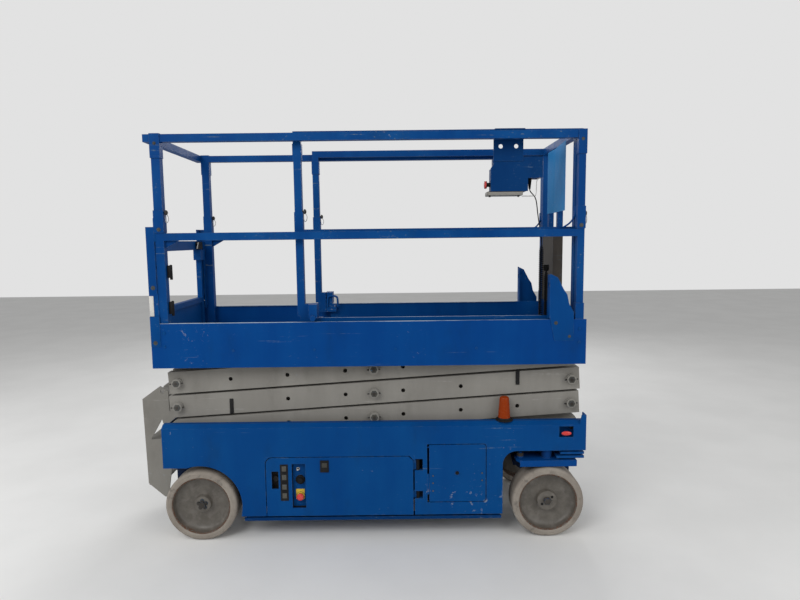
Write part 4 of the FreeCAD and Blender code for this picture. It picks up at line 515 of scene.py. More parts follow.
BODY: tuple[Colour, Colour] = ((0.0005, 0.049, 0.202), (0.003, 0.077, 0.255))
INSIDE: tuple[Colour, Colour] = ((0.0006, 0.047, 0.215), (0.004, 0.074, 0.27))
BLUE_GRIME: Colour = (0.006, 0.026, 0.075)
FINISHES = (
    WornPaint("body_blue", *BODY, grime=BLUE_GRIME, fade=0.5),
    WornPaint("toe_blue", (0.0002, 0.044, 0.208), (0.001, 0.068, 0.262),
              grime=(0.003, 0.026, 0.075), fade=0.5, scratches=0.35, lip_z=1.175),
    WornPaint("rail_blue", (0.0008, 0.044, 0.19), (0.006, 0.080, 0.26), grime=(0.012, 0.030, 0.055),
              scratches=1.0, scar_and_highlight=(0.13, 0.18, 0.21), coarse=1.6, chips=0.7),
    # The near tray turns near-black past its hinge slot's edge as painted shade.
    WornPaint("tray_blue", *BODY, grime=BLUE_GRIME, fade=0.5, painted_shade_beyond=0.3232),
    # A much brighter copy of the blue paint: painted light on the panel's lit face.
    WornPaint("panel_blue", (0.019, 0.180, 0.44), (0.04, 0.235, 0.50), chips=0.2, edge=0.4,
              fade=0.7, scar_and_highlight=(0.35, 0.48, 0.60), sheen=0.03, gloss=0.6),
    # Darker blue; on the pothole guards it stands for painted shade.
    WornPaint("box_blue", (0.0005, 0.030, 0.125), (0.002, 0.045, 0.16), grime=(0.004, 0.018, 0.045),
              fade=0.5),
    WornPaint("box_brown", (0.050, 0.043, 0.037), (0.075, 0.068, 0.060), chips=0.3, edge=0.3),
    # Pale blue of the toe boards' lips: a painted highlight.
    WornPaint("lip_highlight_blue", (0.10, 0.20, 0.33), (0.42, 0.50, 0.58), grime=(0.03, 0.07, 0.14),
              fade=1.0, chips=0.8),
    WornPaint("blank_label", (0.62, 0.60, 0.56), (0.72, 0.70, 0.66), chips=0.2, edge=0.3, fade=0.5),
    WornPaint("arm_grey", (0.225, 0.215, 0.195), (0.30, 0.29, 0.265), chip=(0.11, 0.08, 0.06),
              chips=0.3, grime=(0.10, 0.092, 0.08), scar_and_highlight=(0.34, 0.33, 0.31)),
    # Dark oily finish of nuts and pin ends; on the tie rod it is painted shade.
    WornPaint("greasy", (0.030, 0.027, 0.024), (0.10, 0.09, 0.08), chips=0.3, edge=0.5, gloss=0.38),
    WornPaint("dark_metal", (0.055, 0.054, 0.048), (0.12, 0.118, 0.105), chips=0.2, gloss=0.5),
    # Chassis frame and knuckles darkened inside as painted shade.
    WornPaint("chassis_inside", *INSIDE, grime=BLUE_GRIME, fade=0.4, painted_shade_inside=0.372),
    WornPaint("knuckle_blue", *INSIDE, grime=(0.012, 0.03, 0.06), fade=0.4, painted_shade_inside=0.285),
    RimPaint(),
    SolidTyre(),
    BareMetal("steel", (0.55, 0.54, 0.52), (0.30, 0.28, 0.26)),
    Moulded("black_plastic", (0.008, 0.008, 0.009), (0.045, 0.043, 0.040), 0.55, sheen=0.15),
    Moulded("battery_case", (0.30, 0.10, 0.08), (0.30, 0.26, 0.23)),
    Moulded("red_plastic", (0.62, 0.035, 0.03), (0.55, 0.30, 0.27), 0.28, 300.0, 0.00005, 0.3),
    Moulded("yellow_plastic", (0.70, 0.48, 0.03), (0.45, 0.36, 0.15), 0.4, 300.0, 0.00005, 0.4),
    Moulded("cord_rubber", (0.002, 0.002, 0.002), (0.012, 0.012, 0.012), 0.6, 700.0, dusty=0.3,
            sheen=0.06),
    TreadPlate(),
    AmberLens(),
)


def linked(name: str, data: bpy.types.ID) -> bpy.types.Object:
    """Put a mesh, curve, lamp or camera into the scene as an object at the origin."""
    made = bpy.data.objects.new(name, data)
    bpy.context.scene.collection.objects.link(made)
    return made


def flat_mesh(vertices: Iterable[Sequence[float]],
              faces: Sequence[Sequence[int]]) -> bpy.types.Mesh:
    """Return a new mesh of places in metres and faces as lists of their numbers."""
    mesh = bpy.data.meshes.new("part")
    mesh.from_pydata([tuple(place) for place in vertices], [], faces)
    return mesh


@dataclass
class Camera:
    """The photograph's viewpoint."""

    place: Point = (0.245, -3.341, 1.590)
    focal_px: float = 575.5
    frame_px: float = 800.0
    sensor_mm: float = 36.0
    reach: float = 60.0
    pitch: float = math.radians(5.94)
    yaw: float = math.radians(0.04)
    roll: float = math.radians(0.63)

    def build(self) -> None:
        """Add the camera."""
        level = Vector((math.cos(self.yaw), -math.sin(self.yaw), 0.0))
        ahead = Vector((math.sin(self.yaw) * math.cos(self.pitch),
                        math.cos(self.yaw) * math.cos(self.pitch), -math.sin(self.pitch)))
        down = ahead.cross(level)
        right = math.cos(self.roll) * level + math.sin(self.roll) * down
        lower = -math.sin(self.roll) * level + math.cos(self.roll) * down
        turn = Matrix((right, -lower, -ahead)).transposed().to_4x4()
        data = bpy.data.cameras.new("photo_view")
        data.sensor_width = self.sensor_mm
        data.lens = self.focal_px / self.frame_px * self.sensor_mm
        data.clip_end = self.reach
        camera = linked("photo_view", data)
        camera.matrix_world = Matrix.Translation(Vector(self.place)) @ turn
        bpy.context.scene.camera = camera


@dataclass
class Studio:
    """Plain pale floor, even sky and four soft lamps, each with its place, size and power."""

    floor_half: float = 14.0
    floor_colour: Colour = (0.80, 0.80, 0.79)
    floor_shade: Colour = (0.76, 0.76, 0.75)
    sky: float = 0.55
    seen_sky: float = 0.95
    glossy_share: float = 0.2
    aim: Point = (0.0, 0.0, 1.0)
    lamps: tuple[tuple[str, Point, float, float], ...] = (
        ("key", (-2.6, -4.6, 4.6), 3.0, 150.0), ("fill", (3.8, -3.6, 2.6), 3.0, 60.0),
        ("rear", (0.5, 4.8, 4.0), 3.0, 110.0), ("side", (-5.6, -1.0, 2.4), 2.5, 70.0))

    def lamp(self, name: str, place: Point, size: float, power: float) -> None:
        """Add a soft square lamp at place, turned towards the lift."""
        data = bpy.data.lights.new(name, "AREA")
        data.size = size
        data.energy = power
        turn = (Vector(self.aim) - Vector(place)).to_track_quat("-Z", "Y").to_matrix().to_4x4()
        linked(name, data).matrix_world = Matrix.Translation(Vector(place)) @ turn

    def floor(self) -> None:
        """Add the floor, which isn't part of the lift."""
        half = self.floor_half
        mesh = flat_mesh([(-half, -half, 0.0), (half, -half, 0.0), (half, half, 0.0),
                          (-half, half, 0.0)], [(0, 1, 2, 3)])
        shader = Shader("floor")
        cloud = shader.noise(1.5, 5.0).between(0.3, 0.7)
        shader.set(Base_Color=shader.mix(self.floor_colour, self.floor_shade, cloud), Roughness=0.8)
        mesh.materials.append(shader.material)
        linked("floor", mesh)

    def world(self) -> None:
        """Fill the sky: even on the lift, dimmer in reflections, near white to the camera."""
        world = bpy.data.worlds.new("sky")
        world.use_nodes = True
        sky = Tree(world.node_tree)
        glossy = sky.node("ShaderNodeLightPath", output="Is Glossy Ray")
        seen = glossy.beside("Is Camera Ray").peak(glossy * self.glossy_share)
        strength = sky.node("ShaderNodeMapRange", None,
                            {"Value": seen, "To Min": self.sky, "To Max": self.seen_sky})
        back = sky.node("ShaderNodeBackground", None, {"Strength": strength})
        sky.end("ShaderNodeOutputWorld", "Surface", back)
        bpy.context.scene.world = world

    def build(self) -> None:
        """Add floor, sky and lamps."""
        bpy.context.scene.view_settings.view_transform = "Standard"
        self.floor()
        self.world()
        for lamp in self.lamps:
            self.lamp(*lamp)


def declare(piece: bpy.types.Object, body: str, replaces: Iterable[str] = ()) -> None:
    """Tie a finished piece to its body and the CAD nodes it stands for.

    Args:
        piece: the finished object.
        body: the body that it rides on.
        replaces: names of CAD nodes that it hides.
    """
    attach(piece, body)
    names = tuple(replaces)
    if names:
        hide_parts(*names)
    LOG.info("%s on %s, %d faces", piece.name, body, len(getattr(piece.data, "polygons", ())))


def clean(mesh: bpy.types.Mesh) -> None:
    """Merge doubles and turn every face outwards."""
    work = bmesh.new()
    work.from_mesh(mesh)
    bmesh.ops.remove_doubles(work, verts=work.verts, dist=1e-6)
    bmesh.ops.recalc_face_normals(work, faces=work.faces)
    work.to_mesh(mesh)
    work.free()


def soften(mesh: bpy.types.Mesh, angle: float) -> None:
    """Shade a mesh smooth, with creases where faces turn by more than angle degrees."""
    mesh.polygons.foreach_set("use_smooth", [True] * len(mesh.polygons))
    mesh.set_sharp_from_angle(angle=math.radians(angle))
    mesh.update()


def bent_curve(name: str, route: Sequence[Sequence[float]], radius: float, resolution: int,
               steps: int) -> bpy.types.Curve:
    """Return a round curve that bends smoothly between its control points.

    Args:
        name: the curve's name.
        route: its control points, in metres.
        radius: its section's radius.
        resolution: its section's roundness.
        steps: how many pieces lie between two control points.

    Returns:
        The curve.
    """
    data = bpy.data.curves.new(name, "CURVE")
    data.dimensions = "3D"
    data.bevel_depth = radius
    data.bevel_resolution = resolution
    data.resolution_u = steps
    data.use_fill_caps = True
    spline = data.splines.new("NURBS")
    spline.points.add(len(route) - 1)
    for point, place in zip(spline.points, route):
        point.co = (*place, 1.0)
    spline.order_u = 3
    spline.use_endpoint_u = True
    return data


def evaluated(holder: bpy.types.Object) -> bpy.types.Mesh:
    """Return an object's final shape as a plain mesh and remove the object."""
    bpy.context.view_layer.update()
    depsgraph = bpy.context.evaluated_depsgraph_get()
    mesh = bpy.data.meshes.new_from_object(holder.evaluated_get(depsgraph))
    bpy.data.objects.remove(holder)
    return mesh


class Part(ABC):
    """One shape of a piece, with the name of its finish."""

    finish: str

    @abstractmethod
    def mesh(self) -> bpy.types.Mesh:
        """Return the shape as a new mesh."""


@dataclass(frozen=True)
class Block(Part):
    """A block between two opposite corners, with edges softened by the bevel's width."""

    corner: Point
    opposite: Point
    finish: str
    bevel: float = 0.0008
    crease: float = 40.0

    def mesh(self) -> bpy.types.Mesh:
        """Return the block."""
        first, second = Vector(self.corner), Vector(self.opposite)
        size, middle = second - first, (first + second) / 2.0
        work = bmesh.new()
        bmesh.ops.create_cube(work, size=1.0)
        for vertex in work.verts:
            stretched = [part * abs(length) for part, length in zip(vertex.co, size)]
            vertex.co = Vector(stretched) + middle
        if self.bevel:
            bmesh.ops.bevel(work, geom=work.edges[:], offset=self.bevel, segments=2, affect="EDGES",
                            profile=0.5)
        mesh = bpy.data.meshes.new("part")
        work.to_mesh(mesh)
        work.free()
        soften(mesh, self.crease)
        return mesh


@dataclass(frozen=True)
class Turned(Part):
    """An outline turned about an axis, such as a knob, a lens or a tyre.

    The profile holds (radius, height) in millimetres. It runs from axis to axis, or all the way
    round where it is closed. The foot is where the axis starts, in metres, and way its
    direction. Squash scales the finished height in z, and back_y cuts it off like a wall.
    """

    profile: Sequence[Flat]
    foot: Point
    way: Point
    finish: str
    segments: int = 32
    closed: bool = False
    squash: float = 1.0
    back_y: float = math.inf
    crease: float = 35.0

    def mesh(self) -> bpy.types.Mesh:
        """Return the turned shape."""
        turn = Vector(self.way).to_track_quat("Z", "Y").to_matrix()
        vertices, faces = [], []
        count = len(self.profile)
        for i in range(self.segments):
            angle = 2.0 * math.pi * i / self.segments
            for radius, height in self.profile:
                local = Vector((radius * math.cos(angle), radius * math.sin(angle), height)) * MM
                vertices.append(Vector(self.foot) + turn @ local)
            ring, following = i * count, (i + 1) % self.segments * count
            for j in range(count if self.closed else count - 1):
                k = (j + 1) % count
                faces.append((ring + j, following + j, following + k, ring + k))
        mesh = flat_mesh(vertices, faces)
        clean(mesh)
        soften(mesh, self.crease)
        for vertex in mesh.vertices:
            vertex.co.z = self.foot[2] + (vertex.co.z - self.foot[2]) * self.squash
            vertex.co.y = min(vertex.co.y, self.back_y)
        return mesh


@dataclass(frozen=True)
class Bar(Part):
    """A round bar or wire that bends through points."""

    route: Sequence[Point]
    radius: float
    finish: str
    resolution: int = 2
    crease: float = 60.0

    def mesh(self) -> bpy.types.Mesh:
        """Return the bar."""
        curve = bent_curve("bar", self.route, self.radius, self.resolution, 6)
        mesh = evaluated(linked("bar", curve))
        clean(mesh)
        soften(mesh, self.crease)
        return mesh


@dataclass(frozen=True)
class CornerFiller(Part):
    """Sheet that fills a square corner of a skirt's opening, up to an arc or a chamfer.

    Corner is its x and z, inward the signs of the way into the opening along them, and lap how
    far the sheet reaches over the opening's edges. A single step makes a chamfer of the arc.
    """

    corner: Flat
    inward: Flat
    radius: float
    side: float
    steps: int
    finish: str = "body_blue"
    back: float = 0.3922
    face: float = 0.3999
    lap: float = 0.0005

    def mesh(self) -> bpy.types.Mesh:
        """Return the filler."""
        (x, z), (right, up) = self.corner, self.inward
        left, low = x - right * self.lap, z - up * self.lap
        middle_x, middle_z = x + right * self.radius, z + up * self.radius
        edge = [(middle_x, low), (left, low), (left, middle_z)]
        for i in range(self.steps + 1):
            angle = math.pi / 2.0 * i / self.steps
            edge.append((middle_x - right * self.radius * math.cos(angle),
                         middle_z - up * self.radius * math.sin(angle)))
        count = len(edge)
        places = [(px, self.side * out, pz) for out in (self.back, self.face) for px, pz in edge]
        faces = [tuple(range(count)), tuple(range(2 * count - 1, count - 1, -1))]
        faces += [(i, (i + 1) % count, count + (i + 1) % count, count + i) for i in range(count)]
        mesh = flat_mesh(places, faces)
        clean(mesh)
        return mesh


@dataclass(frozen=True)
class Head:
    """One bolt head, nut or rivet: where it sits, the way it points and its size."""

    place: Point
    way: Point
    size: float = 1.0


class HeadKind(Enum):
    """Sides of the fastener's head and its washer's share of the head's radius."""

    HEX = (6, 1.35)
    RIVET = (14, 0.9)


class HeadTree(Tree):
    """Geometry Nodes tree that sets a head and its washer on every point of a mesh."""

    INPUTS = {"Points": "NodeSocketGeometry", "Radius": "NodeSocketFloat",
              "Height": "NodeSocketFloat", "Sides": "NodeSocketInt",
              "Washer": "NodeSocketFloat", "Finish": "NodeSocketMaterial"}
    WASHER_SIDES = 18
    WASHER_HEIGHT = 0.4
    CREASE = 30.0

    def __init__(self) -> None:
        """Build the tree with its named inputs."""
        super().__init__(bpy.data.node_groups.new("fastener_heads", "GeometryNodeTree"))
        for name, kind in self.INPUTS.items():
            self.tree.interface.new_socket(name, in_out="INPUT", socket_type=kind)
        self.tree.interface.new_socket("Heads", in_out="OUTPUT", socket_type="NodeSocketGeometry")
        points = self.node("NodeGroupInput", output="Points")
        radius, height = points.beside("Radius"), points.beside("Height")
        head = self.cylinder(points.beside("Sides"), radius, height)
        rise = self.node("ShaderNodeCombineXYZ", None, {"Z": height * 0.5})
        lifted = self.node("GeometryNodeTransform", None, {"Geometry": head, "Translation": rise})
        washer = self.cylinder(self.WASHER_SIDES, radius * points.beside("Washer"),
                               height * self.WASHER_HEIGHT)
        both = self.node("GeometryNodeJoinGeometry", None, {0: lifted})
        self.feed(both.out.node.inputs[0], washer)
        way = self.attribute("way", "FLOAT_VECTOR")
        turn = self.node("FunctionNodeAlignRotationToVector", {"axis": "Z"}, {"Vector": way})
        placed = self.node("GeometryNodeInstanceOnPoints", None, {
            "Points": points, "Instance": both, "Rotation": turn,
            "Scale": self.attribute("size", "FLOAT")})
        real = self.node("GeometryNodeRealizeInstances", None, {"Geometry": placed})
        self.end("NodeGroupOutput", "Heads", self.node("GeometryNodeSetMaterial", None, {
            "Geometry": real, "Material": points.beside("Finish")}))

    def cylinder(self, sides: Union[Sock, int], radius: Sock, height: Sock) -> Sock:
        """Add a capped cylinder about the origin."""
        return self.node("GeometryNodeMeshCylinder", {"fill_type": "NGON"},
                         {"Vertices": sides, "Radius": radius, "Depth": height})

    def attribute(self, name: str, kind: str) -> Sock:
        """Read a named value of the points."""
        return self.node("GeometryNodeInputNamedAttribute", {"data_type": kind}, {"Name": name})

    def build(self, name: str, heads: Sequence[Head], kind: HeadKind, size: Flat,
              material: bpy.types.Material) -> bpy.types.Object:
        """Set heads on the given points and make them one plain mesh.

        Args:
            name: the object's name.
            heads: where they go.
            kind: their sides and washer.
            size: a head's radius and height at size 1, in metres.
            material: its finish.

        Returns:
            The object.
        """
        points = flat_mesh([head.place for head in heads], [])
        points.attributes.new("way", "FLOAT_VECTOR", "POINT")
        points.attributes.new("size", "FLOAT", "POINT")
        ways = [value for head in heads for value in head.way]
        points.attributes["way"].data.foreach_set("vector", ways)
        points.attributes["size"].data.foreach_set("value", [head.size for head in heads])
        holder = linked(name, points)
        modifier = holder.modifiers.new("heads", "NODES")
        modifier.node_group = self.tree
        sides, washer = kind.value
        given = {"Radius": size[0], "Height": size[1], "Sides": sides, "Washer": washer,
                 "Finish": material}
        for item in self.tree.interface.items_tree:
            if item.name in given:
                modifier[item.identifier] = given[item.name]
        mesh = evaluated(holder)
        mesh.name = name
        clean(mesh)
        soften(mesh, self.CREASE)
        return linked(name, mesh)


class Workshop:
    """The finishes and the fastener tree, and what makes declared pieces with them."""

    def __init__(self) -> None:
        """Mix every finish and build the fastener tree."""
        self.materials = {finish.slot: finish.build() for finish in FINISHES}
        self.heads = HeadTree()

    def dress_cad(self) -> None:
        """Give every CAD node the finish of its slot, or its own variant of it."""
        # The tie rod takes the dark oily finish as painted shade behind the wheel.
        variants = {"chassis_frame": "chassis_inside", "tie_rod": "greasy", "rear_axles": "greasy",
                    "lift_barrel": "greasy", "toe_boards": "toe_blue", "cord_socket": "cord_rubber",
                    "control_box": "box_blue", "control_hook": "box_blue",
                    "storage_box": "box_brown", "tray_panel_near": "tray_blue",
                    "front_rail": "rail_blue", "entry_frame": "rail_blue"}
        for side in SIDES:
            variants[f"knuckle_{side}"] = "knuckle_blue"
            # The pothole guards take the darker box blue as painted shade.
            variants[f"pothole_guard_{side}"] = "box_blue"
            variants[f"main_rail_{side}"] = "rail_blue"
            variants[f"extension_rail_{side}"] = "rail_blue"
        for row in frame["record"]["subparts"]:
            slots = frame["nodes"][row["node"]].data.materials
            slots.clear()
            slots.append(self.materials[variants.get(row["node"], row["material_slot"])])

    def fit(self, name: str, body: str, parts: Iterable[Part],
            replaces: Iterable[str] = ()) -> None:
        """Args:
            name: the piece's name.
            body: the body that it rides on.
            parts: its shapes.
            replaces: names of CAD nodes that it hides.
        """
        work = bmesh.new()
        used: list[str] = []
        for part in parts:
            if part.finish not in used:
                used.append(part.finish)
            start = len(work.faces)
            shape = part.mesh()
            work.from_mesh(shape)
            bpy.data.meshes.remove(shape)
            work.faces.ensure_lookup_table()
            for face in work.faces[start:]:
                face.material_index = used.index(part.finish)
        mesh = bpy.data.meshes.new(name)
        work.to_mesh(mesh)
        work.free()
        for finish in used:
            mesh.materials.append(self.materials[finish])
        declare(linked(name, mesh), body, replaces)

    def fasten(self, name: str, body: str, heads: Sequence[Head], kind: HeadKind, size: Flat,
               slot: str = "dark_metal", finish: Optional[str] = None) -> None:
        """Args:
            name: the piece's name.
            body: the body that it rides on.
            heads: where they go.
            kind: their sides and washer.
            size: a head's radius and height at size 1, in metres.
            slot: the record's material slot.
            finish: its finish, where that isn't the slot's own.
        """
        material = self.materials[finish or slot]
        declare(self.heads.build(name, heads, kind, size, material), body)


@dataclass
class ControlCord:
    """Curly cord from the control box's strain relief down to its socket on the rail.

    The lead is its plain part. The coils go down the limb from top_z, round at bottom_z and up
    the back one to back_top_z. Kept is the share of its control points' length that the smooth
    curve keeps.
    """

    lead: tuple[Point, ...] = (
        (0.933, -0.280, 1.850), (0.934, -0.280, 1.838), (0.948, -0.281, 1.824),
        (0.963, -0.283, 1.806), (0.970, -0.285, 1.778), (0.974, -0.287, 1.735),
        (0.981, -0.290, 1.680), (0.991, -0.293, 1.625), (0.996, -0.295, 1.590))
    radius: float = 0.0028
    turn_radius: float = 0.0108
    pitch: float = 0.0104
    points_a_turn: int = 12
    limb: Flat = (0.996, -0.295)
    back: Flat = (1.020, -0.309)
    top_z: float = 1.555
    bottom_z: float = 1.125
    back_top_z: float = 1.420
    step: float = 0.0015
    ease: float = 0.03
    kept: float = 0.985

    def half(self) -> Vector:
        """Return half the step from the falling limb to the rising one."""
        return Vector((self.back[0] - self.limb[0], self.back[1] - self.limb[1], 0.0)) / 2.0

    def axis(self) -> list[Vector]:
        """Return the middle line of the coils: down one limb, round and up the other."""
        half = self.half()
        middle = Vector((*self.limb, self.bottom_z)) + half
        fall = int((self.top_z - self.bottom_z) / self.step)
        line = [Vector((*self.limb, self.top_z - self.step * i)) for i in range(fall)]
        bend = int(math.pi * half.length / self.step)
        for i in range(bend):
            angle = math.pi * i / bend
            sag = Vector((0.0, 0.0, half.length * math.sin(angle)))
            line.append(middle - half * math.cos(angle) - sag)
        rise = int((self.back_top_z - self.bottom_z) / self.step)
        line += [Vector((*self.back, self.bottom_z + self.step * i)) for i in range(rise + 1)]
        return line

    def helix(self) -> list[Vector]:
        """Return the control points of the coils, wound round the middle line."""
        line = self.axis()
        distance = [0.0]
        for first, second in zip(line, line[1:]):
            distance.append(distance[-1] + (second - first).length)
        total = distance[-1]
        count = int(total / self.pitch * self.points_a_turn)
        side = self.half().cross(Vector(UP)).normalized()
        points = []
        at = 0
        for i in range(count + 1):
            along = total * i / count
            while at < len(line) - 2 and distance[at + 1] < along:
                at += 1
            ahead = (line[at + 1] - line[at]).normalized()
            part = (along - distance[at]) / (distance[at + 1] - distance[at])
            centre = line[at].lerp(line[at + 1], part)
            out = side.cross(ahead).normalized()
            angle = 2.0 * math.pi * i / self.points_a_turn
            grow = min(1.0, along / self.ease, (total - along) / self.ease)
            radius = self.turn_radius * max(grow, 0.0) ** 0.5
            points.append(centre + (math.cos(angle) * side + math.sin(angle) * out) * radius)
        return points

    def build(self, shop: Workshop) -> None:
        route = [Vector(place) for place in self.lead] + self.helix()
        data = bent_curve("control_cord", route, self.radius, 2, 2)
        data.materials.append(shop.materials["cord_rubber"])
        cord = linked("control_cord", data)
        length = sum((b - a).length for a, b in zip(route, route[1:])) * self.kept
        2.0 * self.radius
        declare(cord, "extension", ("control_cord_lead", "control_cord_coil"))


@dataclass
class Wheels:
    """Four solid tyres on dished rims, with the hubs' nuts, and black discs as painted shade for
    their holes.

    Outlines are in millimetres: radius, and distance out from the machine's middle.
    """

    front_x: float = 1.025
    rear_x: float = -0.825
    axle_z: float = 0.1905
    tyre_middle: float = 341.5
    hub_face: float = 380.0
    front_hub: float = 53.0
    rear_hub: float = 44.0
    bore: float = 19.0
    nut_circle: float = 0.021
    nut_size: Flat = (0.0095, 0.009)
    hole_circle: float = 0.033
    segments: int = 128

    def tyre_outline(self) -> list[Flat]:
        """Return the tyre's section, the same on both faces."""
        half = [(155.3, 402.0), (157.5, 404.2), (163.0, 404.9), (171.0, 404.6), (172.5, 403.6),
                (174.0, 404.4), (180.0, 403.2), (185.5, 400.0), (189.0, 395.0), (190.4, 389.0)]
        inner = [(radius, 2.0 * self.tyre_middle - out) for radius, out in reversed(half)]
        return half + inner

    def rim_outline(self, hub: float) -> list[Flat]:
        """Return the rim's section, a spun bowl from its edge to a hub of that radius."""
        face, bore = self.hub_face, self.bore
        bowl = [(155.1, 399.5), (154.6, 401.6), (152.0, 402.4), (149.8, 400.5), (148.6, 392.0),
                (147.2, 382.0), (144.0, 373.0), (138.0, 366.5), (128.0, 361.0), (113.0, 356.0),
                (96.0, 352.8), (78.0, 351.0), (hub + 6.0, 350.2), (hub + 1.5, 351.0), (hub, 353.5)]
        head = [(hub, face - 4.0), (hub - 1.2, face - 1.2), (hub - 4.0, face - 0.2),
                (bore, face - 0.2), (bore, face - 8.0)]
        back = [(bore, 342.0), (150.0, 342.0), (150.0, 282.0), (155.1, 282.0)]
        return bowl + head + back

    def on_hub(self, x: float, side: float, sunk: float, radius: float = 0.0,
               degrees: float = 0.0) -> Point:
        """Return a place on a hub's face.

        Args:
            x: the axle's place along the machine.
            side: NEAR or FAR.
            sunk: how far below the face, in millimetres.
            radius: distance from the axle.
            degrees: angle round the axle.

        Returns:
            The place.
        """
        angle = math.radians(degrees)
        return (x + radius * math.cos(angle), side * (self.hub_face - sunk) * MM,
                self.axle_z + radius * math.sin(angle))

    def castle_nut(self, x: float, side: float) -> list[Part]:
        """Return the slotted nut and split pin that hold a front hub on its stub axle."""
        nut = [(0.0, 0.0), (22.5, 0.0), (22.5, 8.0), (21.0, 10.0), (18.6, 10.4), (18.6, 17.2),
               (17.4, 18.6), (0.0, 18.9)]
        out, z = side * 0.3935, self.axle_z
        pin = [(x - 0.024, out, z - 0.010), (x, out, z), (x + 0.022, out, z + 0.009),
               (x + 0.027, out, z + 0.004)]
        return [Turned(nut, self.on_hub(x, side, 0.3), (0.0, side, 0.0), "greasy", 6),
                Bar(pin, 0.0022, "dark_metal", 1)]

    def hub_hole_shade(self, x: float, side: float) -> list[Part]:
        """Return two black discs on a front hub's cap: painted shade where its two holes are."""
        plug = [(0.0, 0.0), (7.2, 0.0), (7.2, 1.2), (6.4, 1.4), (5.6, 0.9), (0.0, 0.9)]
        return [Turned(plug, self.on_hub(x, side, 0.8, self.hole_circle, degrees),
                       (0.0, side, 0.0), "black_plastic", 20) for degrees in (36.0, 216.0)]

    def hub_nuts(self, x: float, side: float) -> list[Head]:
        """Return the five nuts on a rear hub."""
        return [Head(self.on_hub(x, side, 0.4, self.nut_circle, 20.0 + 72.0 * i),
                     (0.0, side, 0.0), 0.85) for i in range(5)]

    def build(self, shop: Workshop) -> None:
        """Add the four wheels."""
        for end, x, hub in (("front", self.front_x, self.front_hub),
                            ("rear", self.rear_x, self.rear_hub)):
            for name, side in SIDES.items():
                wheel, centre, way = f"{end}_{name}", (x, 0.0, self.axle_z), (0.0, side, 0.0)
                body = f"wheel_{wheel}"
                tyre = Turned(self.tyre_outline(), centre, way, "tyre", self.segments, True)
                shop.fit(f"tyre_{wheel}_look", body, [tyre], [f"tyre_{wheel}"])
                rim = Turned(self.rim_outline(hub), centre, way, "rim_grey", self.segments, True)
                shop.fit(f"rim_{wheel}_look", body, [rim], [f"rim_{wheel}"])
                if end == "front":
                    shop.fit(f"{body}_castle_nut", body, self.castle_nut(x, side))
                    # Black discs as painted shade for the hub's two holes.
                    shop.fit(f"{body}_hub_hole_shade", body, self.hub_hole_shade(x, side))
                else:
                    shop.fasten(f"hub_nuts_{wheel}", body, self.hub_nuts(x, side), HeadKind.HEX,
                                self.nut_size, finish="greasy")


@dataclass
class ScissorPins:
    """Nuts and keepers on the pins' ends, and the rubber stops on the second arms."""

    left_x: float = -0.948
    right_x: float = 1.156
    middle_x: float = 0.104
    first_z: float = 0.583
    pitch: float = 0.130
    collar_face: float = 0.3444
    keeper_out: float = 0.3385
    keeper_back: float = 0.037
    stops: tuple[tuple[str, Flat], ...] = (("left", (-0.664, 0.713)), ("right", (0.872, 0.853)))
    stop_back: float = 0.3182
    stop_face: float = 0.3232

    def places(self, level: int) -> list[Flat]:
        """Return x and z of the pin ends that ride on one inner arm."""
        low = self.first_z + self.pitch * (level - 1)
        return [(self.left_x, low + self.pitch), (self.middle_x, low + self.pitch / 2.0),
                (self.right_x, low)]

    def pin_end(self, x: float, z: float, side: float) -> list[Part]:
        """Return a pin's washer, nut and oily dark end, with the bar that stops it from turning."""
        washer = [(0.0, 0.0), (24.5, 0.0), (24.5, 1.4), (23.4, 2.2), (0.0, 2.2)]
        nut = [(0.0, 2.1), (19.0, 2.1), (19.0, 4.6), (16.6, 5.6), (0.0, 5.6)]
        end = [(0.0, 5.0), (9.5, 5.0), (9.5, 6.4), (8.4, 6.9), (0.0, 6.9)]
        keeper = [(0.0, 0.0), (3.2, 0.6), (3.6, 3.0), (3.6, 69.0), (3.0, 71.4), (0.0, 72.0)]
        foot, way = (x, side * self.collar_face, z), (0.0, side, 0.0)
        keeper_foot = (x - self.keeper_back, side * self.keeper_out, z - 0.003)
        return [Turned(washer, foot, way, "arm_grey"), Turned(nut, foot, way, "dark_metal", 6),
                Turned(end, foot, way, "greasy", 24),
                Turned(keeper, keeper_foot, (1.0, 0.0, 0.06), "greasy", 12)]

    def build(self, shop: Workshop) -> None:
        """Add the pins' ends, then the stops."""
        for level in (1, 2, 3):
            parts = [part for x, z in self.places(level) for side in (NEAR, FAR)
                     for part in self.pin_end(x, z, side)]
            shop.fit(f"pin_ends_{level}", f"inner_arm_{level}", parts)
        for name, (x, z) in self.stops:
            shop.fit(f"arm_stops_{name}", "outer_arm_2", [
                Block((x - 0.010, side * self.stop_back, z - 0.040),
                      (x + 0.010, side * self.stop_face, z + 0.040), "black_plastic", 0.0015)
                for side in (NEAR, FAR)])


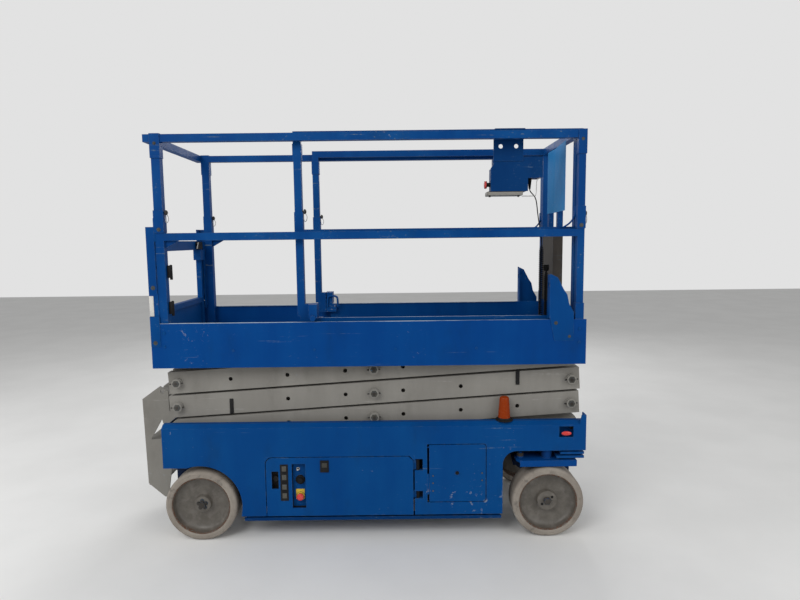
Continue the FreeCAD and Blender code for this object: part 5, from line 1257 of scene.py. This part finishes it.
@dataclass
class Beacon:
    """Ribbed amber lens on a dark base, on the near bevel of the chassis."""

    x: float = 0.795
    y: float = -0.357
    base_z: float = 0.6322
    lens_z: float = 0.646
    wall_y: float = -0.3237
    ribs: int = 13
    rib_pitch: float = 7.6
    rib_depth: float = 1.0
    shoulder: float = 104.0

    def lens_outline(self) -> list[Flat]:
        """Return the tapered lens's section, with its ribs and its domed top."""
        outline = [(0.0, 0.0), (33.0, 0.0)]
        for i in range(self.ribs):
            height = 4.0 + self.rib_pitch * i
            radius = 32.6 - 7.4 * height / self.shoulder
            outline += [(radius, height), (radius - self.rib_depth, height + self.rib_pitch / 2.0)]
        return outline + [(24.6, self.shoulder), (22.5, 109.0), (17.0, 113.5), (9.0, 115.6),
                          (0.0, 116.0)]

    def build(self, shop: Workshop) -> None:
        """Add lens, base and foot."""
        base = [(0.0, 0.0), (36.0, 0.0), (36.0, 11.0), (34.6, 13.0), (34.6, 15.0), (0.0, 15.0)]
        foot = [(0.0, 0.0), (46.0, 0.0), (46.0, 4.0), (43.0, 6.4), (0.0, 6.4)]
        low = (self.x, self.y, self.base_z)
        shop.fit("beacon_look", "chassis", [
            Turned(self.lens_outline(), (self.x, self.y, self.lens_z), UP, "amber", 48),
            Turned(base, low, UP, "black_plastic", 48),
            Turned(foot, low, UP, "black_plastic", 48, back_y=self.wall_y)], ["beacon"])


@dataclass
class GroundPanel:
    """Buttons, blank strip and meter of the near tray's ground controls."""

    face: float = -0.400
    recess_face: float = -0.370
    stop_x: float = -0.298
    stop_z: float = 0.229
    blank_z: tuple[float, ...] = (0.392, 0.345, 0.292, 0.244)

    def buttons(self) -> list[Part]:
        """Return the stop button with its yellow collar, the key switch and the toggle."""
        out, wall, x, z = (0.0, NEAR, 0.0), self.recess_face, self.stop_x, self.stop_z
        collar = [(0.0, 0.0), (24.0, 0.0), (24.0, 5.6), (22.0, 6.6), (0.0, 6.6)]
        stop = [(0.0, 0.0), (7.0, 0.0), (7.0, 4.0), (18.5, 6.0), (19.6, 9.0), (19.2, 13.5),
                (16.0, 16.5), (8.0, 18.0), (0.0, 18.4)]
        key = [(0.0, 0.0), (25.0, 0.0), (25.0, 6.0), (22.6, 9.0), (16.0, 10.0), (14.6, 19.0),
               (13.0, 20.5), (0.0, 20.5)]
        toggle = [(0.0, 0.0), (9.0, 0.0), (9.0, 3.0), (4.2, 4.0), (6.4, 15.0), (5.0, 17.5),
                  (0.0, 18.0)]
        return [
            Turned(collar, (x, wall, z), out, "yellow_plastic", 40),
            Block((-0.322, wall - 0.0030, 0.214), (-0.276, wall - 0.0012, 0.268), "yellow_plastic",
                  0.0005),
            Block((-0.3366, wall - 0.0012, 0.1734), (-0.2654, wall - 0.0001, 0.4166), "body_blue",
                  0.0),
            Turned(stop, (x, wall - 0.006, z), out, "red_plastic", 40),
            Turned(key, (-0.297, wall, 0.321), out, "black_plastic", 40),
            Turned(toggle, (-0.308, wall, 0.380), out, "steel", 24)]

    def plates(self) -> list[Part]:
        """Return the blank strip with its fields and the meter with its window."""
        face = self.face
        parts = [
            Block((-0.3985, face - 0.0024, 0.2155), (-0.3565, face - 0.0002, 0.4155),
                  "black_plastic"),
            Block((-0.1855, face - 0.0052, 0.3705), (-0.1395, face - 0.0002, 0.4355),
                  "black_plastic", 0.002),
            Block((-0.176, face - 0.0060, 0.398), (-0.149, face - 0.0050, 0.422), "dark_metal",
                  0.0004)]
        return parts + [
            Block((-0.389, face - 0.0032, z - 0.014), (-0.366, face - 0.0023, z + 0.014),
                  "dark_metal", 0.0003) for z in self.blank_z]

    def build(self, shop: Workshop) -> None:
        """Add the dressed controls over the plain ones."""
        shop.fit("ground_buttons", "tray_near", self.buttons())
        shop.fit("ground_plates", "tray_near", self.plates())


@dataclass
class ControlBoxTrim:
    """Stop button, pale lower panel, studs and wire guard of the control box, and its socket."""

    stop: Point = (0.7125, -0.257, 1.875)
    studs_x: Flat = (0.722, 0.872)
    front_y: float = -0.292
    stay_x: float = 1.010
    socket: Point = (1.020, -0.309, 1.420)

    def build(self, shop: Workshop) -> None:
        """Add the button, the panel, its studs and the wire, then the socket."""
        button = [(0.0, 0.0), (12.0, 0.0), (12.0, 3.0), (20.2, 5.0), (21.0, 8.0), (20.2, 12.0),
                  (15.0, 14.0), (0.0, 14.6)]
        stud = [(0.0, 0.0), (5.5, 0.0), (5.5, 7.0), (4.0, 9.0), (0.0, 9.0)]
        y = self.front_y
        wire = [(0.890, y, 1.812), (0.93, y, 1.812), (0.958, y, 1.812), (0.966, y, 1.820),
                (0.966, y, 1.86), (0.966, y - 0.002, 1.888), (0.975, y - 0.005, 1.9035),
                (0.984, y - 0.007, 1.905)]
        shop.fit("platform_stop", "extension",
                 [Turned(button, self.stop, (-1.0, 0.0, 0.0), "red_plastic", 40)])
        shop.fit("panel_edge", "extension",
                 [Block((0.7105, -0.3055, 1.8165), (0.8935, -0.2070, 1.8345), "arm_grey", 0.002)])
        shop.fit("panel_studs", "extension", [
            Turned(stud, (x, y, 1.8170), DOWN, "black_plastic", 16) for x in self.studs_x])
        shop.fit("control_guard_wire", "extension", [Bar(wire, 0.0022, "steel")])
        self.cord_socket(shop)

    def cord_socket(self, shop: Workshop) -> None:
        """Add the cord's lower socket on its slim stay at the rail."""
        x, back, front = self.stay_x, -0.3440, -0.3478
        outline = [(0.0, 0.0), (10.0, 0.0), (12.0, 4.0), (14.0, 6.0), (14.0, 28.0), (12.0, 33.0),
                   (6.0, 34.0), (0.0, 34.0)]
        shop.fit("cord_socket_look", "extension", [
            Turned(outline, self.socket, UP, "cord_rubber", 28),
            Block((x - 0.003, -0.3450, 1.428), (x + 0.014, self.socket[1], 1.446), "cord_rubber",
                  0.001),
            Block((x - 0.003, front, 1.100), (x + 0.003, back, 1.454), "cord_rubber"),
            Block((x - 0.014, front, 1.100), (x + 0.014, back, 1.128), "rail_blue")],
            ["cord_socket"])


@dataclass
class ChassisTrim:
    """Reflectors in the skirt's windows, lock and rivets of the door, corners of the openings."""

    reflector_x: float = 1.118
    reflector_z: float = 0.566
    reflector_out: float = 0.3925
    lock: Point = (0.540, -0.4029, 0.3596)
    rivet_y: float = -0.4031
    rivet_size: Flat = (0.0042, 0.0018)
    rivets: tuple[Flat, ...] = ((0.672, 0.358), (0.672, 0.318), (0.412, 0.345), (0.412, 0.305),
                                (0.412, 0.262))
    tray_left: float = -0.478
    tray_right: float = 0.315
    tray_top: float = 0.455
    door_right: float = 0.696
    door_bottom: float = 0.197
    door_top: float = 0.517

    def build(self, shop: Workshop) -> None:
        """Add the small pieces of the chassis and the service door."""
        lens = [(0.0, 0.0), (26.0, 0.0), (26.0, 3.0), (22.0, 5.5), (0.0, 6.5)]
        lock = [(0.0, 0.0), (10.0, 0.0), (10.0, 1.6), (8.4, 2.2), (7.0, 0.9), (0.0, 0.9)]
        out = (0.0, NEAR, 0.0)
        for name, side in SIDES.items():
            place = (self.reflector_x, side * self.reflector_out, self.reflector_z)
            shop.fit(f"reflector_{name}", "chassis",
                     [Turned(lens, place, (0.0, side, 0.0), "red_plastic", squash=0.42)])
        shop.fit("door_lock", "service_door",
                 [Turned(lock, self.lock, out, "black_plastic", 24)])
        shop.fit("opening_corners", "chassis", self.opening_corners())
        shop.fasten("door_rivets", "service_door",
                    [Head((x, self.rivet_y, z), out) for x, z in self.rivets], HeadKind.RIVET,
                    self.rivet_size)

    def opening_corners(self) -> list[Part]:
        """Return what makes the skirt's openings follow the corners of trays and door."""
        left, right = (self.tray_left, self.tray_top), (self.tray_right, self.tray_top)
        parts: list[Part] = []
        for side in (NEAR, FAR):
            parts.append(CornerFiller(left, (1.0, -1.0), 0.039, side, 12))
            parts.append(CornerFiller(right, (-1.0, -1.0), 0.028, side, 1))
        for z, up in ((self.door_bottom, 1.0), (self.door_top, -1.0)):
            parts.append(CornerFiller((self.door_right, z), (-1.0, up), 0.018, NEAR, 8))
        return parts


@dataclass
class PlatformTrim:
    """Bolts, corner plates, lips, latches, stops and lock pins of the platform and its rails."""

    rear_x: float = -0.973
    front_x: float = 1.172
    rail_face: float = 0.3992
    fold_bolt_z: float = 1.656
    top_bolt_z: float = 2.085
    rail_bolt: Flat = (0.0105, 0.006)
    toe_face: float = 0.4021
    toe_screw: Flat = (0.0075, 0.004)
    toe_screw_x: tuple[float, ...] = (-0.62, -0.2, 0.22, 0.64)
    toe_screw_z: float = 1.030
    toe_end_screw_z: Flat = (1.125, 1.055)
    plate_face: float = 0.4049
    plate_bolt: Flat = (0.0085, 0.0035)
    toe_top: float = 1.1753
    lip_width: float = 0.012
    lip_height: float = 0.0026
    bar_out: float = 0.3600
    stop_z: Flat = (1.4388, 1.2511)

    def build(self, shop: Workshop) -> None:
        """Add the platform's and the extension's small pieces."""
        self.fasteners(shop)
        self.lock_pins(shop)
        self.corners(shop)
        self.gate_stops(shop)
        self.lips(shop)
        self.latches(shop)
        self.sleeve_bars(shop)

    def fasteners(self, shop: Workshop) -> None:
        """Add the bolts of the rails and the screws of the toe boards."""
        bolts, screws = [], []
        for side in (NEAR, FAR):
            way, rail, toe = (0.0, side, 0.0), side * self.rail_face, side * self.toe_face
            for x in (self.rear_x, self.front_x):
                bolts += [Head((x, rail, self.fold_bolt_z), way, 0.75),
                          Head((x, rail, self.top_bolt_z), way, 0.6)]
                screws += [Head((x, toe, z), way, 0.9) for z in self.toe_end_screw_z]
            screws += [Head((x, toe, self.toe_screw_z), way, 0.8) for x in self.toe_screw_x]
        shop.fasten("platform_bolts", "platform", bolts, HeadKind.HEX, self.rail_bolt)
        shop.fasten("toe_board_screws", "platform", screws, HeadKind.RIVET, self.toe_screw,
                    "body_blue")

    def corners(self, shop: Workshop) -> None:
        """Add the folded corner plates under the gate's plates, their bolts and a blank label."""
        plates: list[Part] = []
        bolts: list[Head] = []
        hinge = [(0.0, 0.0), (6.5, 0.0), (6.5, 118.0), (0.0, 118.0)]
        blue, top, face = "body_blue", self.toe_top, self.plate_face
        for side in (NEAR, FAR):
            plates += [
                Block((-1.0411, side * 0.4022, 1.0540), (-0.9915, side * face, 1.2120), blue,
                      0.0012),
                Block((-1.0400, side * 0.3985, top), (-0.9926, side * 0.4026, 1.2110), blue, 0.0),
                Block((-1.0195, side * 0.3950, top), (-0.9948, side * 0.3986, 1.3300), blue, 0.0),
                Turned(hinge, (-0.9972, side * 0.3915, 1.5960), UP, blue, 16)]
            way = (0.0, side, 0.0)
            bolts += [Head((-1.0180, side * face, 1.0742), way),
                      Head((-1.0179, side * 0.3990, 1.3598), way),
                      Head((1.0496, side * 0.4050, 1.1564), way, 0.85),
                      Head((1.1200, side * 0.4050, 1.0860), way, 0.7)]
        plates.append(Block((-0.9996, 0.3228, top), (-0.9966, 0.3574, 1.5900), blue, 0.0))
        shop.fit("corner_plates", "platform", plates)
        shop.fasten("corner_bolts", "platform", bolts, HeadKind.HEX, self.plate_bolt)
        shop.fit("blank_label", "platform", [
            Block((-1.0410, -0.4002, 1.2130), (-1.0185, -0.3991, 1.3180), "blank_label", 0.0003)])

    def lips(self, shop: Workshop) -> None:
        """Add the folded lips along the top of the toe boards, painted pale as a highlight."""
        for body, out, start, end, top in (("platform", 0.3986, -0.949, 1.014, 1.1749),
                                           ("extension", 0.3506, -0.198, 0.990, 1.1899)):
            shop.fit(f"toe_lips_{body}", body, [
                Block((start, side * (out - self.lip_width), top - self.lip_height),
                      (end, side * out, top), "lip_highlight_blue", 0.0004) for side in (NEAR, FAR)])

    def latches(self, shop: Workshop) -> None:
        """Add the gate's black latch with its lever, and the deck latch's bent handle."""
        x = -0.984
        lever = [(x - 0.006, 0.215, 1.590), (x, 0.200, 1.582), (x, 0.185, 1.566),
                 (x, 0.180, 1.552)]
        shop.fit("gate_latch_look", "gate", [
            Block((-1.0032, 0.205, 1.5480), (-0.9860, 0.285, 1.5930), "black_plastic", 0.002),
            Bar(lever, 0.0035, "steel")])
        low, high, left, right, y = 1.1742, 1.2415, -0.2145, -0.1485, 0.303
        handle = [(left, y, low), (left, y, high - 0.022), (left + 0.005, y, high - 0.005),
                  (left + 0.020, y, high), (right - 0.020, y, high),
                  (right - 0.005, y, high - 0.005), (right, y, high - 0.022), (right, y, low)]
        shop.fit("deck_latch_handle", "extension",
                 [Bar(handle, 0.0065, "rail_blue", 3)], ["extension_latch"])

    def sleeve_bars(self, shop: Workshop) -> None:
        """Add the bent bars that run from the front sleeves down to the middle rails."""
        bend = [(1.152, 1.752), (1.152, 1.728), (1.149, 1.708), (1.139, 1.686), (1.124, 1.668),
                (1.106, 1.655), (1.088, 1.645)]
        shop.fit("sleeve_bars", "platform", [
            Bar([(x, side * self.bar_out, z) for x, z in bend], 0.0045, "rail_blue")
            for side in (NEAR, FAR)])

    def gate_stops(self, shop: Workshop) -> None:
        """Add the two black stop blocks that the gate swings against, on the near rear post."""
        pin = [(0.0, 0.0), (7.0, 0.0), (7.0, 74.0), (5.0, 77.0), (0.0, 78.0)]
        parts: list[Part] = []
        for z in self.stop_z:
            parts += [Block((-0.9508, -0.3780, z - 0.030), (-0.9320, -0.3560, z + 0.034),
                            "black_plastic", 0.003),
                      Turned(pin, (-0.9360, -0.3600, z - 0.040), UP, "black_plastic", 20)]
        shop.fit("gate_stops", "platform", parts)

    def lock_pins(self, shop: Workshop) -> None:
        """Add a lock pin with a hanging wire at each fold sleeve of main and extension rails."""
        for body, stations in (("platform", ((-0.9486, 0.3780, 1.742, 1.0),
                                             (1.1964, 0.3760, 1.716, 0.45))),
                               ("extension", ((-0.2500, 0.3290, 1.742, 1.0),))):
            parts = [part for side in (NEAR, FAR) for x, out, z, length in stations
                     for part in self.lock_pin((x, side * out, z), length)]
            shop.fit(f"lock_pins_{body}", body, parts)

    def lock_pin(self, place: Point, length: float) -> list[Part]:
        """Return one lock pin's knob and its wire ring on a post's face.

        Args:
            place: the knob's foot.
            length: how far it stands out, where 1 is a full knob.

        Returns:
            The two parts.
        """
        x, y, z = place
        knob = [(radius, height * length) for radius, height in (
            (0.0, 0.0), (5.0, 0.0), (5.0, 3.0), (12.0, 5.0), (13.0, 9.0), (11.0, 14.0),
            (6.0, 17.0), (0.0, 17.6))]
        ring = [(x + 0.010 * length, y, z - 0.008), (x + 0.021 * length, y, z - 0.018),
                (x + 0.020 * length, y, z - 0.042), (x + 0.010 * length, y, z - 0.054),
                (x + 0.003, y, z - 0.042), (x + 0.003, y, z - 0.014)]
        return [Turned(knob, place, (1.0, 0.0, 0.0), "greasy", 20), Bar(ring, 0.0017, "steel", 1)]


def main() -> None:
    """Build the lift's looks in order."""
    logging.basicConfig(level=logging.INFO, format="%(message)s")
    shop = Workshop()
    shop.dress_cad()
    Camera().build()
    Studio().build()
    for assembly in (ControlCord(), Wheels(), ScissorPins(), Beacon(), GroundPanel(),
                     ControlBoxTrim(), ChassisTrim(), PlatformTrim()):
        assembly.build(shop)


if __name__ == "__main__":
    main()
